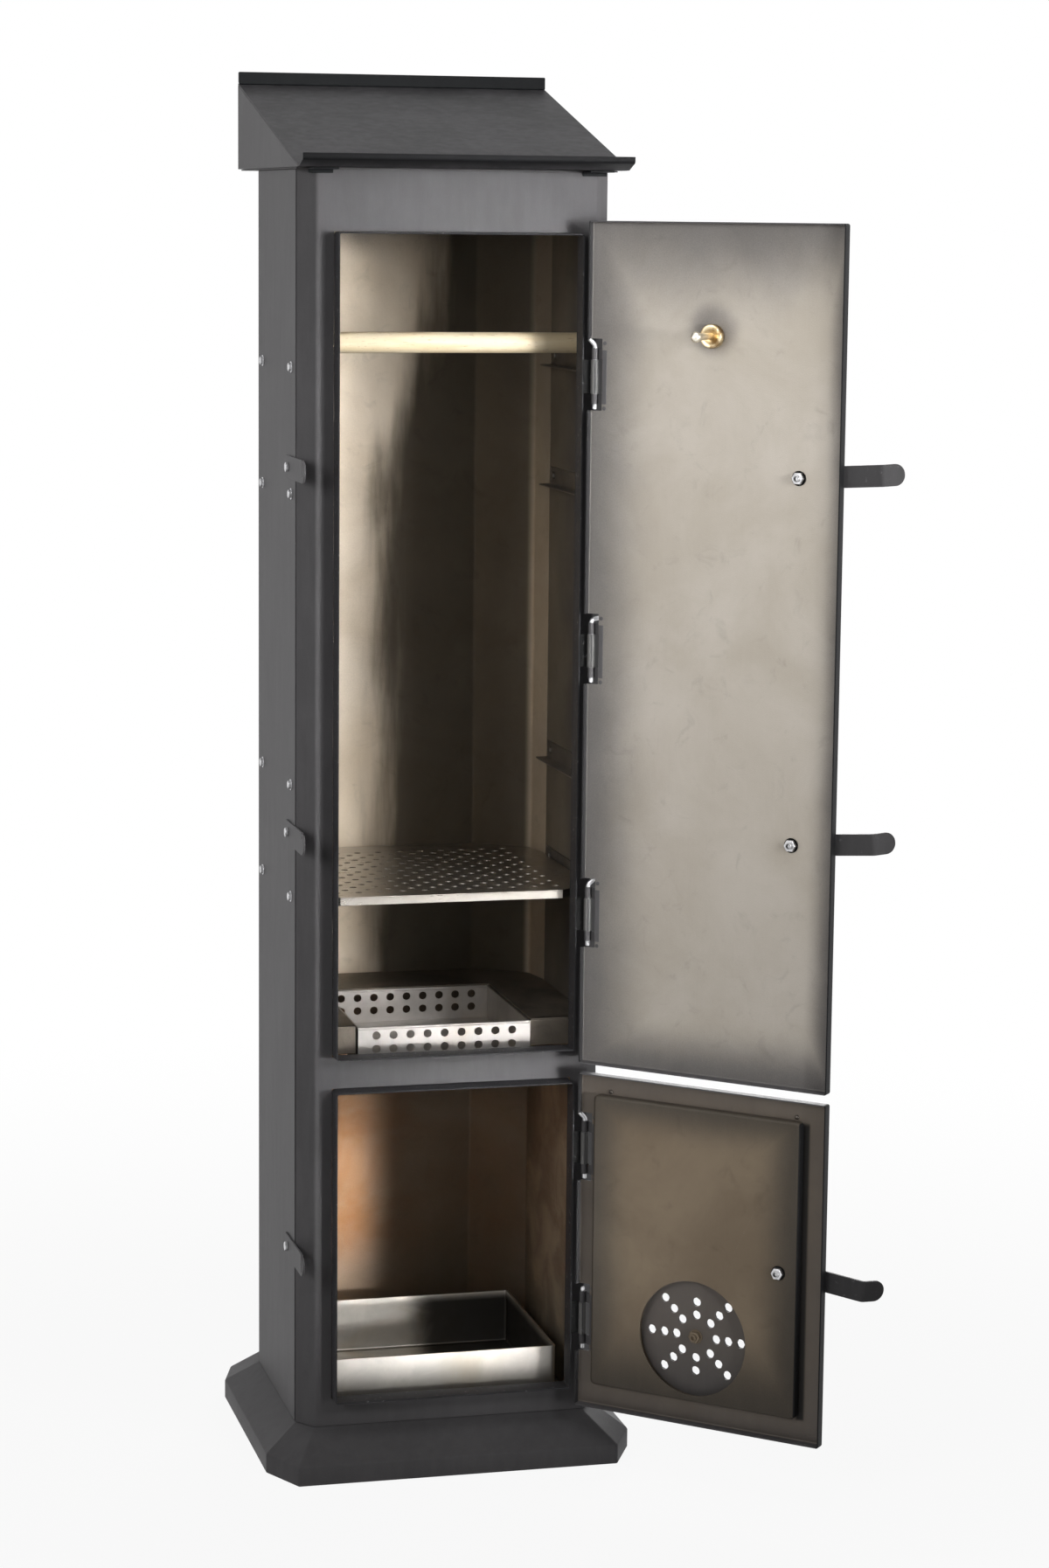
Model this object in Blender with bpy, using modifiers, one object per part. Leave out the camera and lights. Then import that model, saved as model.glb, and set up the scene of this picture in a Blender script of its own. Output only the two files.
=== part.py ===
"""Cabinet smoker: a sheet-steel cabinet on a flared plinth under a pent roof, with two hinged
doors, lever latches, an air regulator, and loose racks and trays inside.

Metres, +Z up. +X is the hinge side, -Y the front, and the origin lies on the floor under the
cabinet. The doors stand open; every door piece is drawn in the closed position and turned with
its hinge, and every latch lever is drawn level and turned with its pivot.
"""
import math

import bmesh
import bpy
from mathutils import Matrix, Vector

MM = 0.001
OBJECT_NAME = "cabinet_smoker"

# Sheet and fits
SHEET = 2.0 * MM
THIN_SHEET = 1.5 * MM
GAP = 0.3 * MM
HOLE_SIDES = 6
BOLT_SIDES = 12
ROD_SIDES = 20
DISC_SIDES = 32
END_STEPS = 8
WELD_DISTANCE = 0.001 * MM
SHARP_ANGLE = math.radians(30)

# Cabinet body, seen from above
HALF_WIDTH = 179.0 * MM
FRONT_Y = -151.0 * MM
BACK_Y = 196.0 * MM
FRONT_CUT_X = 18.0 * MM
FRONT_CUT_Y = 25.0 * MM
REAR_FOLD_SIDE_Y = 84.0 * MM
REAR_FOLD_MID_X = 8.0 * MM
REAR_FOLD_MID_Y = 43.0 * MM
REAR_FOLD_BACK_X = 74.0 * MM
BODY_TOP = 1497.0 * MM

# Plinth
PLINTH_BAND = 22.7 * MM
PLINTH_TOP = 51.0 * MM
PLINTH_FRONT_STEP = 56.0 * MM
PLINTH_FRONT_CUT_STEP = 29.0 * MM
PLINTH_SIDE_STEP = 39.0 * MM
PLINTH_SIDE_END_STEP = 24.0 * MM
PLINTH_FOLD_STEP = 32.0 * MM
PLINTH_BACK_STEP = 42.0 * MM
PLINTH_BACK_CUT_STEP = 20.0 * MM
PLINTH_LEDGE = 20.0 * MM
BASE_PLATE = 3.0 * MM

# Doorways and their collars
COLLAR_HALF = 141.0 * MM
COLLAR_DEPTH = 24.0 * MM
UPPER_DOORWAY_LOW = 494.5 * MM
UPPER_DOORWAY_HIGH = 1428.8 * MM
LOWER_DOORWAY_LOW = 84.0 * MM
LOWER_DOORWAY_HIGH = 453.5 * MM

# Doors
DOOR_OPEN_ANGLE = math.radians(137.0)
DOOR_STANDOFF = 0.9 * MM
DOOR_FLANGE = 13.0 * MM
DOOR_LAP_HINGE = 15.55 * MM
DOOR_LAP_FREE = 17.95 * MM
DOOR_LAP_Z = 14.7 * MM
FITTING_SHIFT = 4.0 * MM

# Hinges
HINGE_INSET = 3.95 * MM
HINGE_PROUD = 1.75 * MM
PIN_RADIUS = 2.5 * MM
PIN_PLAY = 0.4 * MM
BARREL_RADIUS = 4.6 * MM
KNUCKLE_RADIUS = 4.2 * MM
BARREL_LENGTH = 38.0 * MM
UPPER_KNUCKLE_LENGTH = 16.0 * MM
LOWER_KNUCKLE_LENGTH = 12.0 * MM
LUG_SHEET = 2.5 * MM
LEAF_WIDTH = 5.5 * MM
PIN_STUB = 3.0 * MM
PIN_BEND_LENGTH = 11.0 * MM
PIN_BEND_STEPS = 3
UPPER_HINGE_INSET = 176.0 * MM
LOWER_HINGE_TOP_INSET = 92.0 * MM
LOWER_HINGE_BOTTOM_INSET = 102.0 * MM
# Turn (with the door closed) and lean of each pin's bent end, from the top hinge down
PIN_TURNS = [math.radians(turn) for turn in (48, -120, -148, 50, 118)]
PIN_LEANS = [math.radians(lean) for lean in (45, 85, 50, 45, 80)]

# Latches
LEVER_SHEET = 3.0 * MM
LEVER_HALF_WIDTH = 12.0 * MM
LEVER_INSET = 54.5 * MM
LEVER_OVERHANG = 21.0 * MM
LEVER_TIP = 27.0 * MM
LEVER_BEND = math.radians(55.0)
LEVER_HEIGHTS = (1166.0 * MM, 757.0 * MM, 267.0 * MM)
LEVER_ANGLES = [math.radians(angle) for angle in (4.0, 5.3, -6.0)]
LEVER_BOLT_RADIUS = 4.0 * MM
LEVER_BOLT_HEAD = 8.0 * MM
LEVER_BOLT_HEAD_HEIGHT = 4.0 * MM
LEVER_NUT_RADIUS = 7.0 * MM
LEVER_NUT_HEIGHT = 5.0 * MM
BOLT_CROWN_RADIUS = 0.7
BOLT_CROWN_START = 0.4
CATCH_HEIGHTS = (1164.0 * MM, 744.5 * MM, 254.0 * MM)
CATCH_HALF_HEIGHT = 13.0 * MM
CATCH_SHEET = 3.0 * MM
CATCH_PROUD = 10.5 * MM
CATCH_TAIL = 72.0 * MM
CATCH_PLAY = 1.1 * MM

# Thermometer on the upper door
THERMOMETER_DROP = 125.0 * MM
THERMOMETER_BUSH_RADIUS = 6.0 * MM
THERMOMETER_NUT_RADIUS = 13.5 * MM
THERMOMETER_NUT_HEIGHT = 9.0 * MM
THERMOMETER_STEM_RADIUS = 4.0 * MM
THERMOMETER_BALL_RADIUS = 6.2 * MM
THERMOMETER_STEM_LENGTH = 41.0 * MM
THERMOMETER_CASE_RADIUS = 30.0 * MM
THERMOMETER_CASE_DEPTH = 13.0 * MM
THERMOMETER_CASE_WALL = 2.0 * MM
THERMOMETER_DIAL_SHEET = 1.0 * MM
THERMOMETER_LENS = 2.0 * MM

# Air regulator and heat shield on the lower door
REGULATOR_HEIGHT = 173.0 * MM
REGULATOR_RADIUS = 72.0 * MM
REGULATOR_SHEET = 2.0 * MM
REGULATOR_RAYS = 8
REGULATOR_SHORT_RAYS = (2, 6)
REGULATOR_RINGS = (25.5 * MM, 41.0 * MM, 57.0 * MM)
REGULATOR_HOLE = 4.6 * MM
REGULATOR_KNOB_RADIUS = 6.0 * MM
REGULATOR_KNOB_HEIGHT = 20.0 * MM
REGULATOR_BOLT_RADIUS = 4.0 * MM
REGULATOR_BOLT_HEAD = 8.0 * MM
REGULATOR_BOLT_HEIGHT = 4.0 * MM
SHIELD_FREE_INSET = 31.0 * MM
SHIELD_HINGE_INSET = 21.5 * MM
SHIELD_TOP_INSET = 24.0 * MM
SHIELD_BOTTOM_INSET = 28.0 * MM
SHIELD_DEPTH = 10.0 * MM
SHIELD_WINDOW = 67.5 * MM

# Roof
ROOF_SIDE_OVERHANG = 9.0 * MM
ROOF_BACK_OVERHANG = 7.0 * MM
ROOF_FRONT_OVERHANG = 35.0 * MM
ROOF_EAVE_RISE = 2.0 * MM
ROOF_RIDGE_RISE = 99.0 * MM
GUTTER_REACH = 24.5 * MM
GUTTER_RISE = 8.0 * MM
GUTTER_LIP = 7.0 * MM
ROOF_HEM = 12.0 * MM
ROOF_NOSE = 8.0 * MM
TOP_PLATE = 1.4 * MM
TOP_PLATE_PLAY = 2.0 * MM
SMOKE_OUTLET_RADIUS = 45.0 * MM
SMOKE_OUTLET_Y = 60.0 * MM
RIDGE_STRIP_DEPTH = 8.0 * MM
RIDGE_STRIP_HEIGHT = 13.0 * MM
ROOF_BRACKET_X = 157.0 * MM
ROOF_BRACKET_WIDTH = 28.0 * MM
ROOF_BRACKET_LEG = 6.0 * MM

# Racks and trays inside
RAIL_LINES = (1277.0 * MM, 1134.0 * MM, 801.0 * MM, 671.0 * MM)
RAIL_BELOW_LINE = 7.0 * MM
RAIL_ABOVE_LINE = 15.0 * MM
RAIL_LEDGE = 16.0 * MM
RAIL_FRONT_Y = -120.0 * MM
RAIL_BACK_Y = 100.0 * MM
ROD_RADIUS = 12.0 * MM
ROD_Y = -90.0 * MM
ROD_PLAY = 0.5 * MM
SHELF_LIP = 8.2 * MM
SHELF_FRONT_HALF = 131.0 * MM
SHELF_FRONT_PLAY = 2.0 * MM
SHELF_SIDE_PLAY = 2.5 * MM
SHELF_CORNER_Y = -110.0 * MM
SHELF_REAR_PLAY = 5.0 * MM
SHELF_HOLE = 4.5 * MM
SHELF_HOLE_PITCH_X = 35.0 * MM
SHELF_HOLE_PITCH_Y = 33.0 * MM
SHELF_HOLE_COLUMNS = 8
SHELF_HOLE_ROWS = 7
DECK_TOP = 516.5 * MM
DECK_FRONT_Y = -108.0 * MM
DECK_FLANGE = 32.0 * MM
DECK_PLAY = 1.0 * MM
DECK_RAIL_DROP = 22.0 * MM
BASKET_HALF_WIDTH = 103.0 * MM
BASKET_PLAY = 1.5 * MM
BASKET_FRONT_Y = -112.0 * MM
BASKET_BACK_Y = 97.0 * MM
BASKET_DEPTH = 41.0 * MM
BASKET_SINK = 1.5 * MM
BASKET_LEDGE = 12.0 * MM
BASKET_HOLES = 9
BASKET_HOLE_PITCH = 20.3 * MM
BASKET_HOLE_ROWS = 2
BASKET_HOLE_ROW_PITCH = 17.0 * MM
BASKET_HOLE = 4.9 * MM
LINER_INSET = 17.0 * MM
LINER_TOP = 480.0 * MM
LINER_BACK_Y = 122.0 * MM
PAN_HALF_WIDTH = 137.0 * MM
PAN_FRONT_Y = -118.0 * MM
PAN_BACK_Y = 120.0 * MM
PAN_TOP = 120.0 * MM

# Places worked out from the sizes above
INNER_HALF = HALF_WIDTH - SHEET
PANEL_LOW = PLINTH_TOP + GAP
FLOOR_TOP = PANEL_LOW + SHEET
COLLAR_RIM_Y = FRONT_Y - COLLAR_DEPTH
DOOR_INNER_Y = COLLAR_RIM_Y - DOOR_STANDOFF
DOOR_Y = DOOR_INNER_Y - THIN_SHEET
DOOR_HINGE_X = COLLAR_HALF + DOOR_LAP_HINGE
DOOR_FREE_X = -COLLAR_HALF - DOOR_LAP_FREE
FITTING_X = (DOOR_HINGE_X + DOOR_FREE_X) / 2 + FITTING_SHIFT
HINGE_X = DOOR_HINGE_X - HINGE_INSET
HINGE_Y = DOOR_Y - HINGE_PROUD
UPPER_DOOR_Z = (UPPER_DOORWAY_LOW - DOOR_LAP_Z, UPPER_DOORWAY_HIGH + DOOR_LAP_Z)
LOWER_DOOR_Z = (LOWER_DOORWAY_LOW - DOOR_LAP_Z, LOWER_DOORWAY_HIGH + DOOR_LAP_Z)
UPPER_HINGES = (
    UPPER_DOOR_Z[1] - UPPER_HINGE_INSET,
    (UPPER_DOOR_Z[0] + UPPER_DOOR_Z[1]) / 2,
    UPPER_DOOR_Z[0] + UPPER_HINGE_INSET,
)
LOWER_HINGES = (LOWER_DOOR_Z[1] - LOWER_HINGE_TOP_INSET, LOWER_DOOR_Z[0] + LOWER_HINGE_BOTTOM_INSET)
LEVER_X = DOOR_FREE_X + LEVER_INSET
LEVER_OUTER_Y = DOOR_Y - GAP - LEVER_SHEET
CATCH_OUTER_X = -HALF_WIDTH - GAP - CATCH_SHEET
LEVER_REACH = LEVER_X - CATCH_OUTER_X + LEVER_OVERHANG
ROOF_HALF_WIDTH = HALF_WIDTH + ROOF_SIDE_OVERHANG
ROOF_BACK_Y = BACK_Y + ROOF_BACK_OVERHANG
ROOF_EAVE_Y = FRONT_Y - ROOF_FRONT_OVERHANG
ROOF_LOW = BODY_TOP + ROOF_EAVE_RISE
ROOF_PITCH = ROOF_RIDGE_RISE / (ROOF_BACK_Y - ROOF_EAVE_Y)
RAIL_X = INNER_HALF - GAP
SHELF_LOW = RAIL_LINES[3] - RAIL_BELOW_LINE + SHEET + GAP
SHELF_TOP = SHELF_LOW + SHELF_LIP + THIN_SHEET
BASKET_TOP = DECK_TOP - BASKET_SINK
BASKET_LOW = BASKET_TOP - BASKET_DEPTH
BASKET_CUT_HALF = BASKET_HALF_WIDTH + BASKET_PLAY

# The planes in which flat outlines are drawn: (u, v) and the outline's own normal
PLANES = {
    "X": Matrix(((0, 0, 1, 0), (1, 0, 0, 0), (0, 1, 0, 0), (0, 0, 0, 1))),
    "Y": Matrix(((1, 0, 0, 0), (0, 0, -1, 0), (0, 1, 0, 0), (0, 0, 0, 1))),
    "Z": Matrix.Identity(4),
}

for old in list(bpy.data.objects):
    bpy.data.objects.remove(old, do_unlink=True)

PARTS = bpy.data.collections.new(OBJECT_NAME)
CUTTERS = bpy.data.collections.new(OBJECT_NAME + "_cutters")
bpy.context.scene.collection.children.link(PARTS)
bpy.context.scene.collection.children.link(CUTTERS)


# Outlines

def rectangle(u_low, v_low, u_high, v_high):
    """Corners of a rectangle, anticlockwise."""
    return [(u_low, v_low), (u_high, v_low), (u_high, v_high), (u_low, v_high)]


def circle(u, v, radius, sides=8):
    """Points of a circle whose flats, and not only its corners, reach the radius."""
    reach = radius / math.cos(math.pi / sides)
    turns = [2 * math.pi * (i + 0.5) / sides for i in range(sides)]
    return [(u + reach * math.cos(turn), v + reach * math.sin(turn)) for turn in turns]


def mirrored(right_half):
    """Close an outline that runs up the right side by adding its mirror image."""
    return right_half + [(-u, v) for u, v in reversed(right_half)]


def inset(points, distance):
    """Move every edge of a convex anticlockwise outline inward."""
    moved = []
    for i, here in enumerate(points):
        before = (Vector(here) - Vector(points[i - 1])).normalized()
        after = (Vector(points[(i + 1) % len(points)]) - Vector(here)).normalized()
        normals = [Vector((-edge.y, edge.x)) for edge in (before, after)]
        shift = (normals[0] + normals[1]) * distance / (1 + normals[0].dot(normals[1]))
        moved.append(tuple(Vector(here) + shift))
    return moved


def strip(points, thickness):
    """Outline of a folded sheet: a path and its copy, offset to the left of the path."""
    offset = []
    edges = [(Vector(b) - Vector(a)).normalized() for a, b in zip(points, points[1:])]
    for i, here in enumerate(points):
        pair = [edges[max(i - 1, 0)], edges[min(i, len(edges) - 1)]]
        normals = [Vector((-edge.y, edge.x)) for edge in pair]
        shift = (normals[0] + normals[1]) * thickness / (1 + normals[0].dot(normals[1]))
        offset.append(tuple(Vector(here) + shift))
    return points + offset[::-1]


def body_half():
    """Right half of the cabinet's outline, from the front to the back."""
    return [
        (HALF_WIDTH - FRONT_CUT_X, FRONT_Y),
        (HALF_WIDTH, FRONT_Y + FRONT_CUT_Y),
        (HALF_WIDTH, BACK_Y - REAR_FOLD_SIDE_Y),
        (HALF_WIDTH - REAR_FOLD_MID_X, BACK_Y - REAR_FOLD_MID_Y),
        (HALF_WIDTH - REAR_FOLD_BACK_X, BACK_Y),
    ]


def plinth_half():
    """Right half of the plinth's foot, one corner for each of the cabinet's."""
    steps = [
        (PLINTH_FRONT_CUT_STEP, -PLINTH_FRONT_STEP),
        (PLINTH_SIDE_STEP, -PLINTH_SIDE_END_STEP),
        (PLINTH_SIDE_STEP, PLINTH_SIDE_END_STEP),
        (PLINTH_FOLD_STEP, PLINTH_FOLD_STEP),
        (PLINTH_BACK_CUT_STEP, PLINTH_BACK_STEP),
    ]
    return [(x + dx, y + dy) for (x, y), (dx, dy) in zip(body_half(), steps)]


def front_cut_inside(x):
    """Depth of the front corner's inner face at a given distance from the middle."""
    slope = FRONT_CUT_Y / FRONT_CUT_X
    return FRONT_Y + (x - HALF_WIDTH + FRONT_CUT_X) * slope + SHEET * math.hypot(1, slope)


def roof_under(y):
    """Height of the roof sheet's underside."""
    return ROOF_LOW + (y - ROOF_EAVE_Y) * ROOF_PITCH


# Meshes

def settled(obj):
    """Take an object's evaluated mesh, welded and in world space, and remove the object."""
    graph = bpy.context.evaluated_depsgraph_get()
    mesh = bpy.data.meshes.new_from_object(obj.evaluated_get(graph))
    mesh.transform(obj.matrix_world)
    bm = bmesh.new()
    bm.from_mesh(mesh)
    bmesh.ops.remove_doubles(bm, verts=bm.verts, dist=WELD_DISTANCE)
    bmesh.ops.recalc_face_normals(bm, faces=bm.faces)
    bm.to_mesh(mesh)
    bm.free()
    bpy.data.objects.remove(obj, do_unlink=True)
    return mesh


def scratch(name, data):
    """Link a passing object so that its modifiers can be evaluated."""
    obj = bpy.data.objects.new(name, data)
    PARTS.objects.link(obj)
    return obj


def plate(outline, plane, low, high, holes=()):
    """A flat outline with holes, between two heights along the plane's axis."""
    curve = bpy.data.curves.new("outline", "CURVE")
    curve.dimensions = "2D"
    curve.fill_mode = "BOTH"
    curve.extrude = (high - low) / 2
    for loop in (outline, *holes):
        spline = curve.splines.new("POLY")
        spline.points.add(len(loop) - 1)
        spline.use_cyclic_u = True
        for point, (u, v) in zip(spline.points, loop):
            point.co = (u, v, 0, 1)
    obj = scratch("outline", curve)
    middle = Vector((0, 0, 0))
    middle["XYZ".index(plane)] = (low + high) / 2
    obj.matrix_world = Matrix.Translation(middle) @ PLANES[plane]
    bpy.context.view_layer.update()
    mesh = settled(obj)
    bpy.data.curves.remove(curve)
    return mesh


def block(low, high):
    """A box between two corners."""
    bm = bmesh.new()
    bmesh.ops.create_cube(bm, size=1.0)
    size = Vector(high) - Vector(low)
    middle = (Vector(high) + Vector(low)) / 2
    bmesh.ops.scale(bm, vec=size, verts=bm.verts)
    bmesh.ops.translate(bm, vec=middle, verts=bm.verts)
    mesh = bpy.data.meshes.new("block")
    bm.to_mesh(mesh)
    bm.free()
    return mesh


def turned(profile, place, sides):
    """A profile of (radius, height) points, top to bottom, turned about +Z and then placed."""
    mesh = bpy.data.meshes.new("profile")
    points = [(radius, 0, height) for radius, height in profile]
    mesh.from_pydata(points, [(i, i + 1) for i in range(len(points) - 1)], [])
    obj = scratch("profile", mesh)
    screw = obj.modifiers.new("turn", "SCREW")
    screw.steps = sides
    screw.render_steps = sides
    screw.use_merge_vertices = True
    screw.merge_threshold = WELD_DISTANCE
    obj.matrix_world = place
    bpy.context.view_layer.update()
    return settled(obj)


def along_y(x, y, z):
    """Place a turned piece with its top towards -Y."""
    return Matrix.Translation((x, y, z)) @ Matrix.Rotation(math.pi / 2, 4, "X")


def bent_rod(points, radius):
    """A round rod along a path."""
    curve = bpy.data.curves.new("path", "CURVE")
    curve.dimensions = "3D"
    curve.bevel_depth = radius
    curve.bevel_resolution = 2
    curve.use_fill_caps = True
    spline = curve.splines.new("POLY")
    spline.points.add(len(points) - 1)
    for point, place in zip(spline.points, points):
        point.co = (*place, 1)
    obj = scratch("path", curve)
    bpy.context.view_layer.update()
    mesh = settled(obj)
    bpy.data.curves.remove(curve)
    return mesh


def combined(meshes, operation):
    """Join meshes, or cut all later ones from the first, with exact Booleans."""
    base = scratch("base", meshes[0])
    tools = [scratch("tool", mesh) for mesh in meshes[1:]]
    for tool in tools:
        boolean = base.modifiers.new("boolean", "BOOLEAN")
        boolean.operation = operation
        boolean.solver = "EXACT"
        boolean.object = tool
    bpy.context.view_layer.update()
    mesh = settled(base)
    for tool in tools:
        bpy.data.objects.remove(tool, do_unlink=True)
    return mesh


def hollow_box(low, high, wall, mouth):
    """An open tray: a box with one side taken off, named by its axis and sign."""
    axis = "XYZ".index(mouth[1])
    inner_low = Vector(low) + Vector((wall, wall, wall))
    inner_high = Vector(high) - Vector((wall, wall, wall))
    if mouth[0] == "+":
        inner_high[axis] = high[axis] + wall
    else:
        inner_low[axis] = low[axis] - wall
    return combined([block(low, high), block(inner_low, inner_high)], "DIFFERENCE")


# Objects

def node(name, mesh, colour, roughness, metallic, pivot=None):
    """Make one named sub-part from a closed mesh, with its own material."""
    mesh.name = name
    mesh.shade_smooth()
    mesh.set_sharp_from_angle(angle=SHARP_ANGLE)
    material = bpy.data.materials.new(name)
    material.use_nodes = True
    shader = material.node_tree.nodes["Principled BSDF"]
    shader.inputs["Base Color"].default_value = (*colour, 1)
    shader.inputs["Roughness"].default_value = roughness
    shader.inputs["Metallic"].default_value = metallic
    mesh.materials.append(material)
    obj = bpy.data.objects.new(name, mesh)
    PARTS.objects.link(obj)
    if pivot is not None:
        obj.parent = pivot
        obj.matrix_parent_inverse = Matrix.Translation(pivot["drawn_at"]).inverted()
    return obj


def cut(obj, name, meshes):
    """Cut closed, separate meshes from a sub-part and keep them as its cutter."""
    bm = bmesh.new()
    for mesh in meshes:
        bm.from_mesh(mesh)
        bpy.data.meshes.remove(mesh)
    mesh = bpy.data.meshes.new(name)
    bm.to_mesh(mesh)
    bm.free()
    cutter = bpy.data.objects.new(name, mesh)
    cutter.hide_render = True
    cutter.display_type = "WIRE"
    CUTTERS.objects.link(cutter)
    cutter.parent = obj.parent
    cutter.matrix_parent_inverse = obj.matrix_parent_inverse
    boolean = obj.modifiers.new(name, "BOOLEAN")
    boolean.operation = "DIFFERENCE"
    boolean.solver = "EXACT"
    boolean.object = cutter


def joint_empty(name, place, axis, angle, parent=None):
    """An empty on a joint's axis, turned to the rest position; drawn_at is where pieces were drawn."""
    empty = bpy.data.objects.new(name, None)
    PARTS.objects.link(empty)
    empty["drawn_at"] = place
    if parent is None:
        empty.location = place
    else:
        empty.parent = parent
        empty.location = Vector(place) - Vector(parent["drawn_at"])
    empty.rotation_euler["XYZ".index(axis)] = angle
    return empty


PAINT = ((0.145, 0.141, 0.147), 0.45, 0.2)
BLACK = ((0.012, 0.013, 0.013), 0.5, 0.0)
STEEL = ((0.56, 0.54, 0.51), 0.38, 0.9)
STAINED = ((0.3, 0.24, 0.17), 0.5, 0.8)
ZINC = ((0.42, 0.42, 0.43), 0.35, 0.9)
BRASS = ((0.68, 0.46, 0.16), 0.3, 1.0)
WOOD = ((0.72, 0.56, 0.3), 0.65, 0.0)
DIAL = ((0.85, 0.84, 0.8), 0.5, 0.0)
GLASS = ((0.8, 0.85, 0.86), 0.05, 0.0)


def build_plinth():
    """Flared skirt with a ledge that carries the cabinet, a base plate and the firebox floor."""
    foot = mirrored(plinth_half())
    neck = mirrored(body_half())
    rings = [
        (foot, 0.0),
        (foot, PLINTH_BAND),
        (neck, PLINTH_TOP),
        (inset(neck, PLINTH_LEDGE), PLINTH_TOP),
        (inset(neck, PLINTH_LEDGE), PLINTH_TOP - SHEET),
        (inset(neck, SHEET), PLINTH_TOP - SHEET),
        (inset(foot, SHEET), PLINTH_BAND),
        (inset(foot, SHEET), 0.0),
    ]
    bm = bmesh.new()
    loops = [[bm.verts.new((x, y, height)) for x, y in outline] for outline, height in rings]
    for lower, upper in zip(loops, loops[1:] + loops[:1]):
        for i in range(len(foot)):
            k = (i + 1) % len(foot)
            bm.faces.new((lower[i], lower[k], upper[k], upper[i]))
    bmesh.ops.triangulate(bm, faces=bm.faces)
    bmesh.ops.recalc_face_normals(bm, faces=bm.faces)
    skirt = bpy.data.meshes.new("skirt")
    bm.to_mesh(skirt)
    bm.free()
    node("plinth_skirt", skirt, *PAINT)
    base = inset(foot, SHEET + GAP)
    node("base_plate", plate(base, "Z", 0.0, BASE_PLATE), *PAINT)
    floor = inset(neck, SHEET + GAP)
    node("firebox_floor", plate(floor, "Z", PANEL_LOW, FLOOR_TOP), *STAINED)


def build_body():
    """Folded front and back panels, flat side panels, doorway collars and the top plate."""
    half = body_half()
    chamfer = (Vector(half[1]) - Vector(half[0])).normalized()
    fold = (Vector(half[3]) - Vector(half[2])).normalized()
    side_front = half[1][1] + SHEET * chamfer.x + GAP
    side_back = half[2][1] + SHEET * min(fold.x, 0.0) - GAP
    outline = rectangle(side_front, PANEL_LOW, side_back, BODY_TOP)
    node("left_side_panel", plate(outline, "X", -HALF_WIDTH, -INNER_HALF), *PAINT)
    node("right_side_panel", plate(outline, "X", INNER_HALF, HALF_WIDTH), *PAINT)

    front = [(-half[1][0], half[1][1]), (-half[0][0], half[0][1]), half[0], half[1]]
    front_panel = node("front_panel", plate(strip(front, SHEET), "Z", PANEL_LOW, BODY_TOP), *PAINT)
    doorways = [
        ("upper", UPPER_DOORWAY_LOW, UPPER_DOORWAY_HIGH, UPPER_HINGES),
        ("lower", LOWER_DOORWAY_LOW, LOWER_DOORWAY_HIGH, LOWER_HINGES),
    ]
    openings = []
    for name, low, high, hinges in doorways:
        corner = (COLLAR_HALF + GAP, FRONT_Y + SHEET + COLLAR_DEPTH, high + GAP)
        openings.append(block((-corner[0], FRONT_Y - COLLAR_DEPTH, low - GAP), corner))
        outer = rectangle(-COLLAR_HALF, low, COLLAR_HALF, high)
        inner = inset(outer, SHEET)
        collar = plate(outer, "Y", COLLAR_RIM_Y, FRONT_Y + SHEET, [inner])
        barrels = [hinge_barrel(height) for height in hinges]
        node(name + "_doorway_collar", combined([collar, *barrels], "UNION"), *PAINT)
    cut(front_panel, "doorway_openings", openings)

    back = half[2:] + [(-x, y) for x, y in reversed(half[2:])]
    node("back_panel", plate(strip(back, SHEET), "Z", PANEL_LOW, BODY_TOP), *PAINT)


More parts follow.
